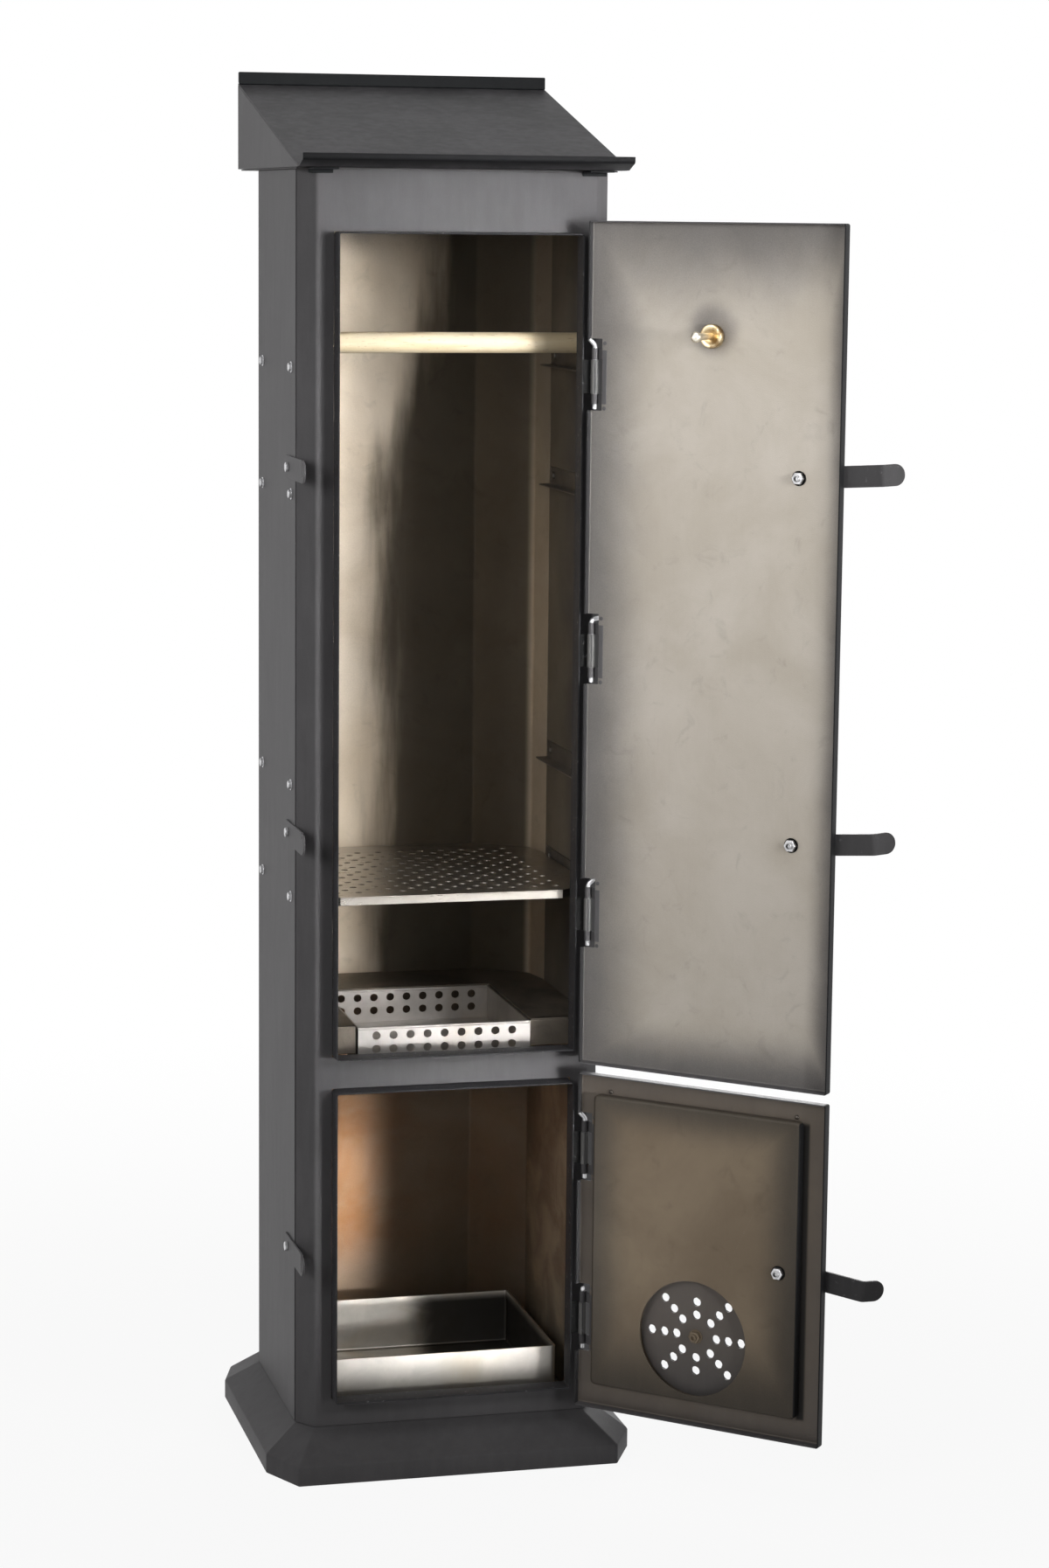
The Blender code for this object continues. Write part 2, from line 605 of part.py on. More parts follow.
def build_roof():
    """Sloping sheet with a gutter, two cheeks with hems, a back, a ridge strip and eave brackets."""
    top_low = BODY_TOP + GAP
    top_half = ROOF_HALF_WIDTH - SHEET - TOP_PLATE_PLAY
    top = rectangle(-top_half, FRONT_Y, top_half, ROOF_BACK_Y - GAP)
    outlet = circle(0, SMOKE_OUTLET_Y, SMOKE_OUTLET_RADIUS, DISC_SIDES)
    node("top_plate", plate(top, "Z", top_low, top_low + TOP_PLATE, [outlet]), *PAINT)

    gutter = ROOF_EAVE_Y - GUTTER_REACH
    path = [
        (ROOF_BACK_Y, roof_under(ROOF_BACK_Y)),
        (ROOF_EAVE_Y, ROOF_LOW),
        (gutter, ROOF_LOW + GUTTER_RISE),
        (gutter, ROOF_LOW + GUTTER_RISE + GUTTER_LIP),
    ]
    sheet = plate(strip(path, -SHEET), "X", -ROOF_HALF_WIDTH, ROOF_HALF_WIDTH)
    node("roof_slope", sheet, *PAINT)

    nose = ROOF_EAVE_Y + ROOF_NOSE
    cheek = [
        (nose, ROOF_LOW),
        (ROOF_BACK_Y, ROOF_LOW),
        (ROOF_BACK_Y, roof_under(ROOF_BACK_Y) - GAP),
        (nose, roof_under(nose) - GAP),
    ]
    inside = ROOF_HALF_WIDTH - SHEET
    back_front = ROOF_BACK_Y - SHEET
    for name, side in (("left", -1), ("right", 1)):
        faces = sorted((side * inside, side * ROOF_HALF_WIDTH))
        hem = sorted((side * (inside + SHEET / 2), side * (inside - ROOF_HEM)))
        parts = [
            plate(cheek, "X", *faces),
            block((hem[0], FRONT_Y, ROOF_LOW), (hem[1], back_front - GAP, ROOF_LOW + SHEET)),
        ]
        node(name + "_roof_cheek", combined(parts, "UNION"), *PAINT)
    half = inside - GAP
    back = rectangle(-half, ROOF_LOW, half, roof_under(back_front) - GAP)
    node("roof_back", plate(back, "Y", back_front, ROOF_BACK_Y), *PAINT)

    rise = SHEET * math.hypot(1, ROOF_PITCH) + GAP
    strip_front = ROOF_BACK_Y - RIDGE_STRIP_DEPTH
    ridge_top = roof_under(ROOF_BACK_Y) + rise + RIDGE_STRIP_HEIGHT
    ridge = [
        (strip_front, roof_under(strip_front) + rise),
        (ROOF_BACK_Y, roof_under(ROOF_BACK_Y) + rise),
        (ROOF_BACK_Y, ridge_top),
        (strip_front, ridge_top),
    ]
    ridge_half = ROOF_HALF_WIDTH - GAP
    node("ridge_strip", plate(ridge, "X", -ridge_half, ridge_half), *BLACK)

    bracket = strip(
        [
            (FRONT_Y - GAP, ROOF_LOW - GAP - ROOF_BRACKET_LEG),
            (FRONT_Y - GAP, ROOF_LOW - GAP),
            (ROOF_EAVE_Y, ROOF_LOW - GAP),
        ],
        SHEET,
    )
    reach = ROOF_BRACKET_WIDTH / 2
    for name, side in (("left", -1), ("right", 1)):
        middle = side * ROOF_BRACKET_X
        node(name + "_roof_bracket", plate(bracket, "X", middle - reach, middle + reach), *BLACK)


def angle_rail(side, x_out, z_top, z_low, ledge, y_low, y_high):
    """An angle along a side wall: a leg on the wall and a ledge at its foot."""
    path = [(side * x_out, z_top), (side * x_out, z_low), (side * (x_out - ledge), z_low)]
    return plate(strip(path, -side * SHEET), "Y", y_low, y_high)


def build_rails():
    """Angle rails in pairs on the side walls."""
    for level, height in enumerate(RAIL_LINES, start=1):
        high = height + RAIL_ABOVE_LINE
        low = height - RAIL_BELOW_LINE
        for name, side in (("left", -1), ("right", 1)):
            rail = angle_rail(side, RAIL_X, high, low, RAIL_LEDGE, RAIL_FRONT_Y, RAIL_BACK_Y)
            node(f"{name}_rail_{level}", rail, *STEEL)


def build_firebox():
    """Deck over the fire with a gap for the chip basket, its rails, and the side liners."""
    inner = inset(mirrored(body_half()), SHEET + DECK_PLAY)
    rear = inner[2:8]
    side = inner[2][0]
    outline = [
        (side, DECK_FRONT_Y),
        *rear,
        (-side, DECK_FRONT_Y),
        (-BASKET_CUT_HALF, DECK_FRONT_Y),
        (-BASKET_CUT_HALF, BASKET_BACK_Y + BASKET_PLAY),
        (BASKET_CUT_HALF, BASKET_BACK_Y + BASKET_PLAY),
        (BASKET_CUT_HALF, DECK_FRONT_Y),
    ]
    deck_low = DECK_TOP - SHEET
    weld = DECK_TOP - SHEET / 2
    ledge_low = BASKET_LOW - GAP - SHEET
    ledge_front = DECK_FRONT_Y + SHEET / 2
    pieces = [plate(outline, "Z", deck_low, DECK_TOP)]
    for hand in (-1, 1):
        ends = sorted((hand * BASKET_CUT_HALF, hand * side))
        low = (ends[0], DECK_FRONT_Y, DECK_TOP - DECK_FLANGE)
        pieces.append(block(low, (ends[1], DECK_FRONT_Y + SHEET, weld)))
        hanger = BASKET_CUT_HALF + SHEET
        reach = SHEET + BASKET_LEDGE
        pieces.append(angle_rail(hand, hanger, weld, ledge_low, reach, ledge_front, BASKET_BACK_Y))
    node("baffle_deck", combined(pieces, "UNION"), *STAINED)

    rail_front = DECK_FRONT_Y + SHEET + GAP
    rail_top = deck_low - GAP
    for name, hand in (("left", -1), ("right", 1)):
        path = [
            (hand * RAIL_X, rail_top - DECK_RAIL_DROP),
            (hand * RAIL_X, rail_top),
            (hand * (RAIL_X - RAIL_LEDGE), rail_top),
        ]
        rail = plate(strip(path, hand * SHEET), "Y", rail_front, RAIL_BACK_Y)
        node(name + "_deck_rail", rail, *STAINED)

    liner_x = INNER_HALF - LINER_INSET
    liner_front = max(FRONT_Y + SHEET, front_cut_inside(liner_x + SHEET)) + GAP
    outline = rectangle(liner_front, FLOOR_TOP + GAP, LINER_BACK_Y, LINER_TOP)
    for name, hand in (("left", -1), ("right", 1)):
        faces = sorted((hand * liner_x, hand * (liner_x + SHEET)))
        node(name + "_firebox_liner", plate(outline, "X", *faces), *STAINED)


def build_loose_pieces():
    """Hanging rod, perforated shelf, chip basket and ash pan, each resting where it is used."""
    rod_z = RAIL_LINES[0] + RAIL_ABOVE_LINE + GAP + ROD_RADIUS
    rod_half = INNER_HALF - ROD_PLAY
    section = circle(ROD_Y, rod_z, ROD_RADIUS * math.cos(math.pi / ROD_SIDES), ROD_SIDES)
    node("hanging_rod", plate(section, "X", -rod_half, rod_half), *WOOD)

    rear = inset(mirrored(body_half()), SHEET + SHELF_REAR_PLAY)
    side = RAIL_X - SHEET - SHELF_SIDE_PLAY
    front = FRONT_Y + SHEET + SHELF_FRONT_PLAY
    half = [
        (SHELF_FRONT_HALF, front),
        (side, SHELF_CORNER_Y),
        (side, rear[2][1]),
        (min(side, rear[3][0]), rear[3][1]),
        rear[4],
    ]
    holes = []
    rows = SHELF_HOLE_ROWS
    middle_y = (front + rear[4][1]) / 2
    for row in range(rows):
        columns = SHELF_HOLE_COLUMNS - row % 2
        y = middle_y + (row - (rows - 1) / 2) * SHELF_HOLE_PITCH_Y
        for column in range(columns):
            x = (column - (columns - 1) / 2) * SHELF_HOLE_PITCH_X
            through = (SHELF_TOP - THIN_SHEET - SHEET, SHELF_TOP + SHEET)
            holes.append(plate(circle(x, y, SHELF_HOLE, HOLE_SIDES), "Z", *through))
    top = plate(mirrored(half), "Z", SHELF_TOP - THIN_SHEET, SHELF_TOP)
    lip_top = SHELF_TOP - THIN_SHEET / 2
    lips = [
        block((-SHELF_FRONT_HALF, front, SHELF_LOW), (SHELF_FRONT_HALF, front + THIN_SHEET, lip_top)),
        block((side - THIN_SHEET, SHELF_CORNER_Y, SHELF_LOW), (side, RAIL_BACK_Y, lip_top)),
        block((-side, SHELF_CORNER_Y, SHELF_LOW), (THIN_SHEET - side, RAIL_BACK_Y, lip_top)),
    ]
    shelf = node("perforated_shelf", combined([top, *lips], "UNION"), *STEEL)
    cut(shelf, "shelf_holes", holes)

    low = (-BASKET_HALF_WIDTH, BASKET_FRONT_Y, BASKET_LOW)
    high = (BASKET_HALF_WIDTH, BASKET_BACK_Y, BASKET_TOP)
    basket = node("chip_basket", hollow_box(low, high, THIN_SHEET, "+Z"), *STEEL)
    holes = []
    for row in range(BASKET_HOLE_ROWS):
        z = (BASKET_LOW + BASKET_TOP) / 2 + (row - (BASKET_HOLE_ROWS - 1) / 2) * BASKET_HOLE_ROW_PITCH
        for column in range(BASKET_HOLES):
            x = (column - (BASKET_HOLES - 1) / 2) * BASKET_HOLE_PITCH
            through = (BASKET_FRONT_Y - SHEET, BASKET_BACK_Y + SHEET)
            holes.append(plate(circle(x, z, BASKET_HOLE, HOLE_SIDES), "Y", *through))
    cut(basket, "basket_holes", holes)

    low = (-PAN_HALF_WIDTH, PAN_FRONT_Y, FLOOR_TOP + GAP)
    pan = hollow_box(low, (PAN_HALF_WIDTH, PAN_BACK_Y, PAN_TOP), THIN_SHEET, "+Z")
    node("ash_pan", pan, *STEEL)


def knuckle(x_from, x_to, ear_low, z_low, z_high, radius):
    """A hinge tube on the hinge axis, with a flat ear between two values of x."""
    bore = circle(HINGE_X, HINGE_Y, PIN_RADIUS + PIN_PLAY, BOLT_SIDES)
    wall = circle(HINGE_X, HINGE_Y, radius * math.cos(math.pi / BOLT_SIDES), BOLT_SIDES)
    tube = plate(wall, "Z", z_low, z_high, [bore])
    ear = block((x_from, ear_low, z_low), (x_to, ear_low + LUG_SHEET, z_high))
    return combined([tube, ear], "UNION")


def hinge_barrel(height):
    """The cabinet's part of one hinge, welded to the doorway collar."""
    weld = COLLAR_HALF - SHEET / 2
    low = height - BARREL_LENGTH / 2
    return knuckle(weld, HINGE_X, DOOR_INNER_Y + GAP, low, low + BARREL_LENGTH, BARREL_RADIUS)


def door_knuckles(height):
    """The door's part of one hinge, welded to the inside of its skin."""
    leaf = (HINGE_X - KNUCKLE_RADIUS - LEAF_WIDTH, HINGE_X - PIN_RADIUS - PIN_PLAY)
    weld = DOOR_Y + THIN_SHEET / 4
    top = height + BARREL_LENGTH / 2 + GAP
    foot = height - BARREL_LENGTH / 2 - GAP
    return [
        knuckle(*leaf, weld, top, top + UPPER_KNUCKLE_LENGTH, KNUCKLE_RADIUS),
        knuckle(*leaf, weld, foot - LOWER_KNUCKLE_LENGTH, foot, KNUCKLE_RADIUS),
    ]


def hinge_notch(height):
    """The piece of a door's edge that makes room for one hinge."""
    low = height - BARREL_LENGTH / 2 - LOWER_KNUCKLE_LENGTH - PIN_STUB - GAP
    bent_end = PIN_STUB + PIN_BEND_LENGTH + PIN_RADIUS
    high = height + BARREL_LENGTH / 2 + UPPER_KNUCKLE_LENGTH + bent_end + GAP
    edge = HINGE_X - BARREL_RADIUS - GAP
    return block((edge, DOOR_Y - SHEET, low), (DOOR_HINGE_X + SHEET, DOOR_Y + DOOR_FLANGE + SHEET, high))


def hinge_pin(height, turn, lean):
    """A pin through one hinge, with its top end bent over."""
    low = height - BARREL_LENGTH / 2 - LOWER_KNUCKLE_LENGTH - PIN_STUB
    high = height + BARREL_LENGTH / 2 + UPPER_KNUCKLE_LENGTH + PIN_STUB
    points = [(HINGE_X, HINGE_Y, low), (HINGE_X, HINGE_Y, high)]
    place = Vector(points[-1])
    for i in range(PIN_BEND_STEPS):
        tilt = lean * (i + 1) / PIN_BEND_STEPS
        flat = Vector((math.cos(turn), math.sin(turn), 0)) * math.sin(tilt)
        place = place + (flat + Vector((0, 0, math.cos(tilt)))) * PIN_BEND_LENGTH / PIN_BEND_STEPS
        points.append(tuple(place))
    return bent_rod(points, PIN_RADIUS)


def door_panel(name, span, heights, pivot):
    """A pan with its flange towards the cabinet, lower on the hinge side so that it can swing."""
    low = (DOOR_FREE_X, DOOR_Y, span[0])
    high = (DOOR_HINGE_X, DOOR_Y + DOOR_FLANGE, span[1])
    arm = HINGE_INSET - THIN_SHEET
    swing = HINGE_X - COLLAR_HALF - DOOR_STANDOFF
    hinge_flange = math.sqrt(swing ** 2 - arm ** 2) - HINGE_PROUD
    trim_low = (DOOR_HINGE_X - 2 * THIN_SHEET, DOOR_Y + hinge_flange, span[0] - SHEET)
    trim_high = (DOOR_HINGE_X + SHEET, DOOR_Y + DOOR_FLANGE + SHEET, span[1] + SHEET)
    cuts = [block(trim_low, trim_high), *[hinge_notch(height) for height in heights]]
    pan = combined([hollow_box(low, high, THIN_SHEET, "+Y"), *cuts], "DIFFERENCE")
    knuckles = [piece for height in heights for piece in door_knuckles(height)]
    return node(name, combined([pan, *knuckles], "UNION"), *PAINT, pivot)


def build_pins(name, heights, turns, leans, pivot):
    """Loose pins of one door's hinges, numbered from the top."""
    for number, (height, turn, lean) in enumerate(zip(heights, turns, leans), start=1):
        node(f"{name}_hinge_pin_{number}", hinge_pin(height, turn, lean), *ZINC, pivot)


def skin_hole(x, z, radius):
    """A round hole through a door's skin."""
    return plate(circle(x, z, radius), "Y", DOOR_Y - SHEET, DOOR_INNER_Y + SHEET)


def lever(name, index, door):
    """A flat latch lever on the door's face, with its tip bent outward."""
    height = LEVER_HEIGHTS[index]
    empty = joint_empty(name + "_pivot", (LEVER_X, DOOR_Y, height), "Y", LEVER_ANGLES[index], door)
    half = LEVER_HALF_WIDTH
    arc = [math.pi * (i / END_STEPS - 0.5) for i in range(END_STEPS + 1)]
    pivot_end = [(half * math.cos(t), half * math.sin(t)) for t in arc]
    tip_end = [(-LEVER_REACH - LEVER_TIP + half - half * math.cos(t), -half * math.sin(t)) for t in arc]
    outline = [(LEVER_X + u, height + v) for u, v in pivot_end + tip_end]
    hole = circle(LEVER_X, height, LEVER_BOLT_RADIUS + GAP)
    mesh = plate(outline, "Y", LEVER_OUTER_Y, LEVER_OUTER_Y + LEVER_SHEET, [hole])
    bm = bmesh.new()
    bm.from_mesh(mesh)
    bend = Vector((LEVER_X - LEVER_REACH, LEVER_OUTER_Y + LEVER_SHEET / 2, height))
    parts = bm.verts[:] + bm.edges[:] + bm.faces[:]
    crease = bmesh.ops.bisect_plane(bm, geom=parts, plane_co=bend, plane_no=(1, 0, 0))["geom_cut"]
    turn = Matrix.Rotation(LEVER_BEND, 4, "Z")
    for vert in bm.verts:
        if vert in crease:
            vert.co.x -= (vert.co.y - bend.y) * math.tan(LEVER_BEND / 2)
        elif vert.co.x < bend.x:
            vert.co = bend + turn @ (vert.co - bend)
    bm.to_mesh(mesh)
    bm.free()
    node(name, mesh, *PAINT, empty)


def through_bolt(x, z, under_head, head, head_height, shank, nut, nut_height, seat=DOOR_INNER_Y + GAP):
    """A bolt through the door's skin: head outside, nut inside on a seat."""
    nut_face = seat - under_head
    profile = [
        (0, head_height),
        (head * BOLT_CROWN_RADIUS, head_height),
        (head, head_height * BOLT_CROWN_START),
        (head, 0),
        (shank, 0),
        (shank, -nut_face),
        (nut, -nut_face),
        (nut, -nut_face - nut_height),
        (0, -nut_face - nut_height),
    ]
    return turned(profile, along_y(x, under_head, z), BOLT_SIDES)


def lever_bolt(name, index, pivot, seat=DOOR_INNER_Y + GAP):
    """Pivot bolt of one lever."""
    sizes = (LEVER_BOLT_HEAD, LEVER_BOLT_HEAD_HEIGHT, LEVER_BOLT_RADIUS, LEVER_NUT_RADIUS, LEVER_NUT_HEIGHT)
    bolt = through_bolt(LEVER_X, LEVER_HEIGHTS[index], LEVER_OUTER_Y - GAP, *sizes, seat)
    node(name, bolt, *ZINC, pivot)


def build_upper_door(pivot):
    """Upper door with two levers and a thermometer."""
    panel = door_panel("upper_door_panel", UPPER_DOOR_Z, UPPER_HINGES, pivot)
    gauge_z = UPPER_DOOR_Z[1] - THERMOMETER_DROP
    holes = [skin_hole(LEVER_X, LEVER_HEIGHTS[i], LEVER_BOLT_RADIUS + GAP) for i in (0, 1)]
    holes.append(skin_hole(FITTING_X, gauge_z, THERMOMETER_BUSH_RADIUS + GAP))
    cut(panel, "upper_door_holes", holes)
    build_pins("upper", UPPER_HINGES, PIN_TURNS[:3], PIN_LEANS[:3], pivot)
    for index, name in enumerate(("top", "middle")):
        lever_bolt(name + "_lever_bolt", index, pivot)
        lever(name + "_latch_lever", index, pivot)

    case_back = DOOR_Y - GAP
    place = along_y(FITTING_X, case_back, gauge_z)
    skin = case_back - DOOR_INNER_Y - GAP
    nut_face = skin - THERMOMETER_NUT_HEIGHT
    ball = THERMOMETER_BALL_RADIUS
    ball_middle = nut_face - THERMOMETER_STEM_LENGTH + ball
    first = math.asin(THERMOMETER_STEM_RADIUS / ball)
    turns = [first + (math.pi - first) * i / END_STEPS for i in range(END_STEPS)]
    bush = [
        (0, -GAP),
        (THERMOMETER_BUSH_RADIUS, -GAP),
        (THERMOMETER_BUSH_RADIUS, skin),
        (THERMOMETER_NUT_RADIUS, skin),
        (THERMOMETER_NUT_RADIUS, nut_face),
        (THERMOMETER_STEM_RADIUS, nut_face),
        *[(ball * math.sin(turn), ball_middle + ball * math.cos(turn)) for turn in turns],
        (0, ball_middle - ball),
    ]
    node("thermometer_stem", turned(bush, place, BOLT_SIDES), *BRASS, pivot)
    radius = THERMOMETER_CASE_RADIUS
    wall = THERMOMETER_CASE_WALL
    depth = THERMOMETER_CASE_DEPTH
    case = [
        (0, wall),
        (radius - wall, wall),
        (radius - wall, depth),
        (radius, depth),
        (radius, 0),
        (0, 0),
    ]
    node("thermometer_case", turned(case, place, DISC_SIDES), *ZINC, pivot)
    room = radius - wall - GAP
    dial_top = wall + GAP + THERMOMETER_DIAL_SHEET
    dial = [(0, dial_top), (room, dial_top), (room, wall + GAP), (0, wall + GAP)]
    node("thermometer_dial", turned(dial, place, DISC_SIDES), *DIAL, pivot)
    lens_low = depth - THERMOMETER_LENS
    lens = [(0, depth), (room, depth), (room, lens_low), (0, lens_low)]
    node("thermometer_lens", turned(lens, place, DISC_SIDES), *GLASS, pivot)


def regulator_holes():
    """Centres of the air holes, in rays from the pivot; the upright rays lack their outer hole."""
    holes = []
    for i in range(REGULATOR_RAYS):
        ray = 2 * math.pi * i / REGULATOR_RAYS
        rings = REGULATOR_RINGS[:-1] if i in REGULATOR_SHORT_RAYS else REGULATOR_RINGS
        holes += [(r * math.cos(ray), r * math.sin(ray)) for r in rings]
    return holes


def build_lower_door(pivot):
    """Lower door with one lever, an air regulator and a heat shield."""
    panel = door_panel("lower_door_panel", LOWER_DOOR_Z, LOWER_HINGES, pivot)
    places = [(FITTING_X + u, REGULATOR_HEIGHT + v) for u, v in regulator_holes()]
    holes = [skin_hole(x, z, REGULATOR_HOLE) for x, z in places]
    holes.append(skin_hole(LEVER_X, LEVER_HEIGHTS[2], LEVER_BOLT_RADIUS + GAP))
    holes.append(skin_hole(FITTING_X, REGULATOR_HEIGHT, REGULATOR_BOLT_RADIUS + GAP))
    cut(panel, "lower_door_holes", holes)
    build_pins("lower", LOWER_HINGES, PIN_TURNS[3:], PIN_LEANS[3:], pivot)
    shield_y = DOOR_INNER_Y + GAP
    lever_bolt("bottom_lever_bolt", 2, pivot, shield_y + SHIELD_DEPTH + GAP)
    lever("bottom_latch_lever", 2, pivot)

    disc_outer = DOOR_Y - GAP - REGULATOR_SHEET
    centre = (FITTING_X, disc_outer, REGULATOR_HEIGHT)
    sizes = (REGULATOR_BOLT_HEAD, REGULATOR_BOLT_HEIGHT, REGULATOR_BOLT_RADIUS)
    nut = (LEVER_NUT_RADIUS, LEVER_NUT_HEIGHT)
    bolt = through_bolt(FITTING_X, REGULATOR_HEIGHT, disc_outer - GAP, *sizes, *nut)
    node("regulator_bolt", bolt, *ZINC, pivot)
    empty = joint_empty("regulator_pivot", centre, "Y", 0.0, pivot)
    outline = circle(FITTING_X, REGULATOR_HEIGHT, REGULATOR_RADIUS, DISC_SIDES)
    disc = plate(outline, "Y", disc_outer, disc_outer + REGULATOR_SHEET)
    knob = turned(
        [
            (0, REGULATOR_KNOB_HEIGHT),
            (REGULATOR_KNOB_RADIUS, REGULATOR_KNOB_HEIGHT),
            (REGULATOR_KNOB_RADIUS, -REGULATOR_SHEET / 2),
            (0, -REGULATOR_SHEET / 2),
        ],
        along_y(FITTING_X, disc_outer, REGULATOR_HEIGHT + REGULATOR_RINGS[-1]),
        BOLT_SIDES,
    )
    regulator = node("air_regulator", combined([disc, knob], "UNION"), *PAINT, empty)
    faces = (disc_outer - SHEET, disc_outer + REGULATOR_SHEET + SHEET)
    air = [plate(circle(x, z, REGULATOR_HOLE), "Y", *faces) for x, z in places]
    air.append(plate(circle(*centre[::2], REGULATOR_BOLT_RADIUS + GAP), "Y", *faces))
    cut(regulator, "regulator_holes", air)

    low = (DOOR_FREE_X + SHIELD_FREE_INSET, shield_y, LOWER_DOOR_Z[0] + SHIELD_BOTTOM_INSET)
    high = (DOOR_HINGE_X - SHIELD_HINGE_INSET, shield_y + SHIELD_DEPTH, LOWER_DOOR_Z[1] - SHIELD_TOP_INSET)
    shield = node("heat_shield", hollow_box(low, high, THIN_SHEET, "-Y"), *STAINED, pivot)
    faces = (shield_y + THIN_SHEET, high[1] + SHEET)
    window = circle(FITTING_X, REGULATOR_HEIGHT, SHIELD_WINDOW, DISC_SIDES)
    bolt_hole = circle(LEVER_X, LEVER_HEIGHTS[2], LEVER_BOLT_RADIUS + GAP)
    cut(shield, "shield_window", [plate(outline, "Y", *faces) for outline in (window, bolt_hole)])


def build_catches():
    """Notched tabs on the left side panel that take the levers."""
    front = DOOR_Y - CATCH_PROUD
    back = FRONT_Y + CATCH_TAIL
    half = CATCH_HALF_HEIGHT
    arc = [math.pi * (i / END_STEPS + 0.5) for i in range(END_STEPS + 1)]
    names = ("top_catch", "middle_catch", "bottom_catch")
    inner_x = -HALF_WIDTH - GAP
    for name, height, pivot_z, angle in zip(names, CATCH_HEIGHTS, LEVER_HEIGHTS, LEVER_ANGLES):
        nose = [(front + half + half * math.cos(t), height + half * math.sin(t)) for t in arc]
        outline = nose + [(back, height - half), (back, height + half)]
        tab = node(name, plate(outline, "X", CATCH_OUTER_X, inner_x), *PAINT)
        dips = [pivot_z + (LEVER_X - x) * math.tan(angle) for x in (CATCH_OUTER_X, inner_x)]
        floor = min(dips) - LEVER_HALF_WIDTH / math.cos(angle) - CATCH_PLAY
        low = (CATCH_OUTER_X - SHEET, LEVER_OUTER_Y - CATCH_PLAY, floor)
        high = (inner_x + GAP / 2, DOOR_Y - GAP + CATCH_PLAY, height + 2 * half)
        cut(tab, name + "_notch", [block(low, high)])


build_plinth()
build_body()
build_roof()
build_rails()
build_firebox()
build_loose_pieces()
build_catches()
hinge_place = (HINGE_X, HINGE_Y, 0.0)
upper_pivot = joint_empty("upper_door_hinge", hinge_place, "Z", DOOR_OPEN_ANGLE)
lower_pivot = joint_empty("lower_door_hinge", hinge_place, "Z", DOOR_OPEN_ANGLE)
build_upper_door(upper_pivot)
build_lower_door(lower_pivot)
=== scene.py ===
"""Looks of a cabinet smoker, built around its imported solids.

Metres, +Z up, -Y the front, +X the hinge side. Door pieces are worked out with the doors closed and
then swung open about the hinge axis, as the solids were.
"""
import math

import bmesh
import bpy
import numpy as np
from mathutils import Matrix, Vector


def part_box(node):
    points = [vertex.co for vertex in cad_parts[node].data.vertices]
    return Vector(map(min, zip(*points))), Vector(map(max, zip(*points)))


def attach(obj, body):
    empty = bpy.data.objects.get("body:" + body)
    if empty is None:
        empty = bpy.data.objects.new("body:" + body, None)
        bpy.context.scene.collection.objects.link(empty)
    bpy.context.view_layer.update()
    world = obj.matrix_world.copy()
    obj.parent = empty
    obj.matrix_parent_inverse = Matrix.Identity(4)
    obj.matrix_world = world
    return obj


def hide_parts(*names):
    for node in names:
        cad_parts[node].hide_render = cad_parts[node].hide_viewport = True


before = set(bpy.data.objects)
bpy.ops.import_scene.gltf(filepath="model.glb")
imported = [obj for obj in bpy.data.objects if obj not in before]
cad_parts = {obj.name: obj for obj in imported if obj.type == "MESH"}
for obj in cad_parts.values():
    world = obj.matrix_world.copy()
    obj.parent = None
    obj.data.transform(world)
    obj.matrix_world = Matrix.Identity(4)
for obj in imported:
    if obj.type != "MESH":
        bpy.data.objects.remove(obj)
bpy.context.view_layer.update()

MM = 0.001

# Sheet and cabinet sizes
SHEET = 2.0 * MM
THIN = 1.5 * MM
GAP = 0.3 * MM
HALF = 179.0 * MM
INNER = HALF - SHEET
FRONT_Y = -151.0 * MM
BODY_LOW = 51.3 * MM
BODY_TOP = 1497.0 * MM
PLINTH_BAND = 22.7 * MM
PLINTH_TOP = 51.0 * MM
PLINTH_LEDGE = 20.0 * MM
COLLAR_HALF = 141.0 * MM
COLLAR_RIM_Y = -175.0 * MM
UPPER_DOORWAY = (490.8 * MM, 1428.8 * MM)
LOWER_DOORWAY = (84.0 * MM, 453.5 * MM)
BODY_HALF = np.array([(161, -151), (179, -126), (179, 112), (171, 153), (105, 196)]) * MM
FOOT_HALF = np.array([(190, -207), (218, -150), (218, 136), (203, 185), (125, 238)]) * MM

# Both sides and the doors' two faces
HANDS = (("left", -1), ("right", 1))
INWARD = (0, 1, 0)
OUTWARD = (0, -1, 0)

# Doors and hinges, with the doors closed
DOOR_OUT_Y = -177.4 * MM
DOOR_IN_Y = -175.9 * MM
DOOR_FLANGE = 13.0 * MM
HINGE_FLANGE = 8.6 * MM
DOOR_HINGE_X = 156.55 * MM
DOOR_FREE_X = -158.95 * MM
FITTING_X = 2.8 * MM
UPPER_DOOR = (479.8 * MM, 1443.5 * MM)
LOWER_DOOR = (69.3 * MM, 468.2 * MM)
HINGE = np.array([152.6, -179.15]) * MM
UPPER_HINGES = np.array([1269.3, 958.4, 652.5]) * MM
LOWER_HINGES = np.array([376.2, 171.3]) * MM
BARREL_LENGTH = 38.0 * MM
KNUCKLE_ABOVE = 13.0 * MM
KNUCKLE_BELOW = 11.5 * MM
NOTCH_X = 141.6 * MM
NOTCH_FOOT = 37.6 * MM
NOTCH_HEAD = 43.0 * MM
PIN_RADIUS = 2.6 * MM
PIN_STUB = 6.2 * MM
PIN_BEND = 12.5 * MM
OPEN_ANGLE = math.radians(137.0)

# Latches, gauge and air regulator
LEVER_X = -104.45 * MM
LEVER_OUT_Y = -180.7 * MM
LEVER_SHEET = 3.0 * MM
LEVER_REACH = 98.85 * MM
LEVER_TIP = 27.0 * MM
LEVER_HALF = 12.0 * MM
LEVER_BEND = math.radians(55.0)
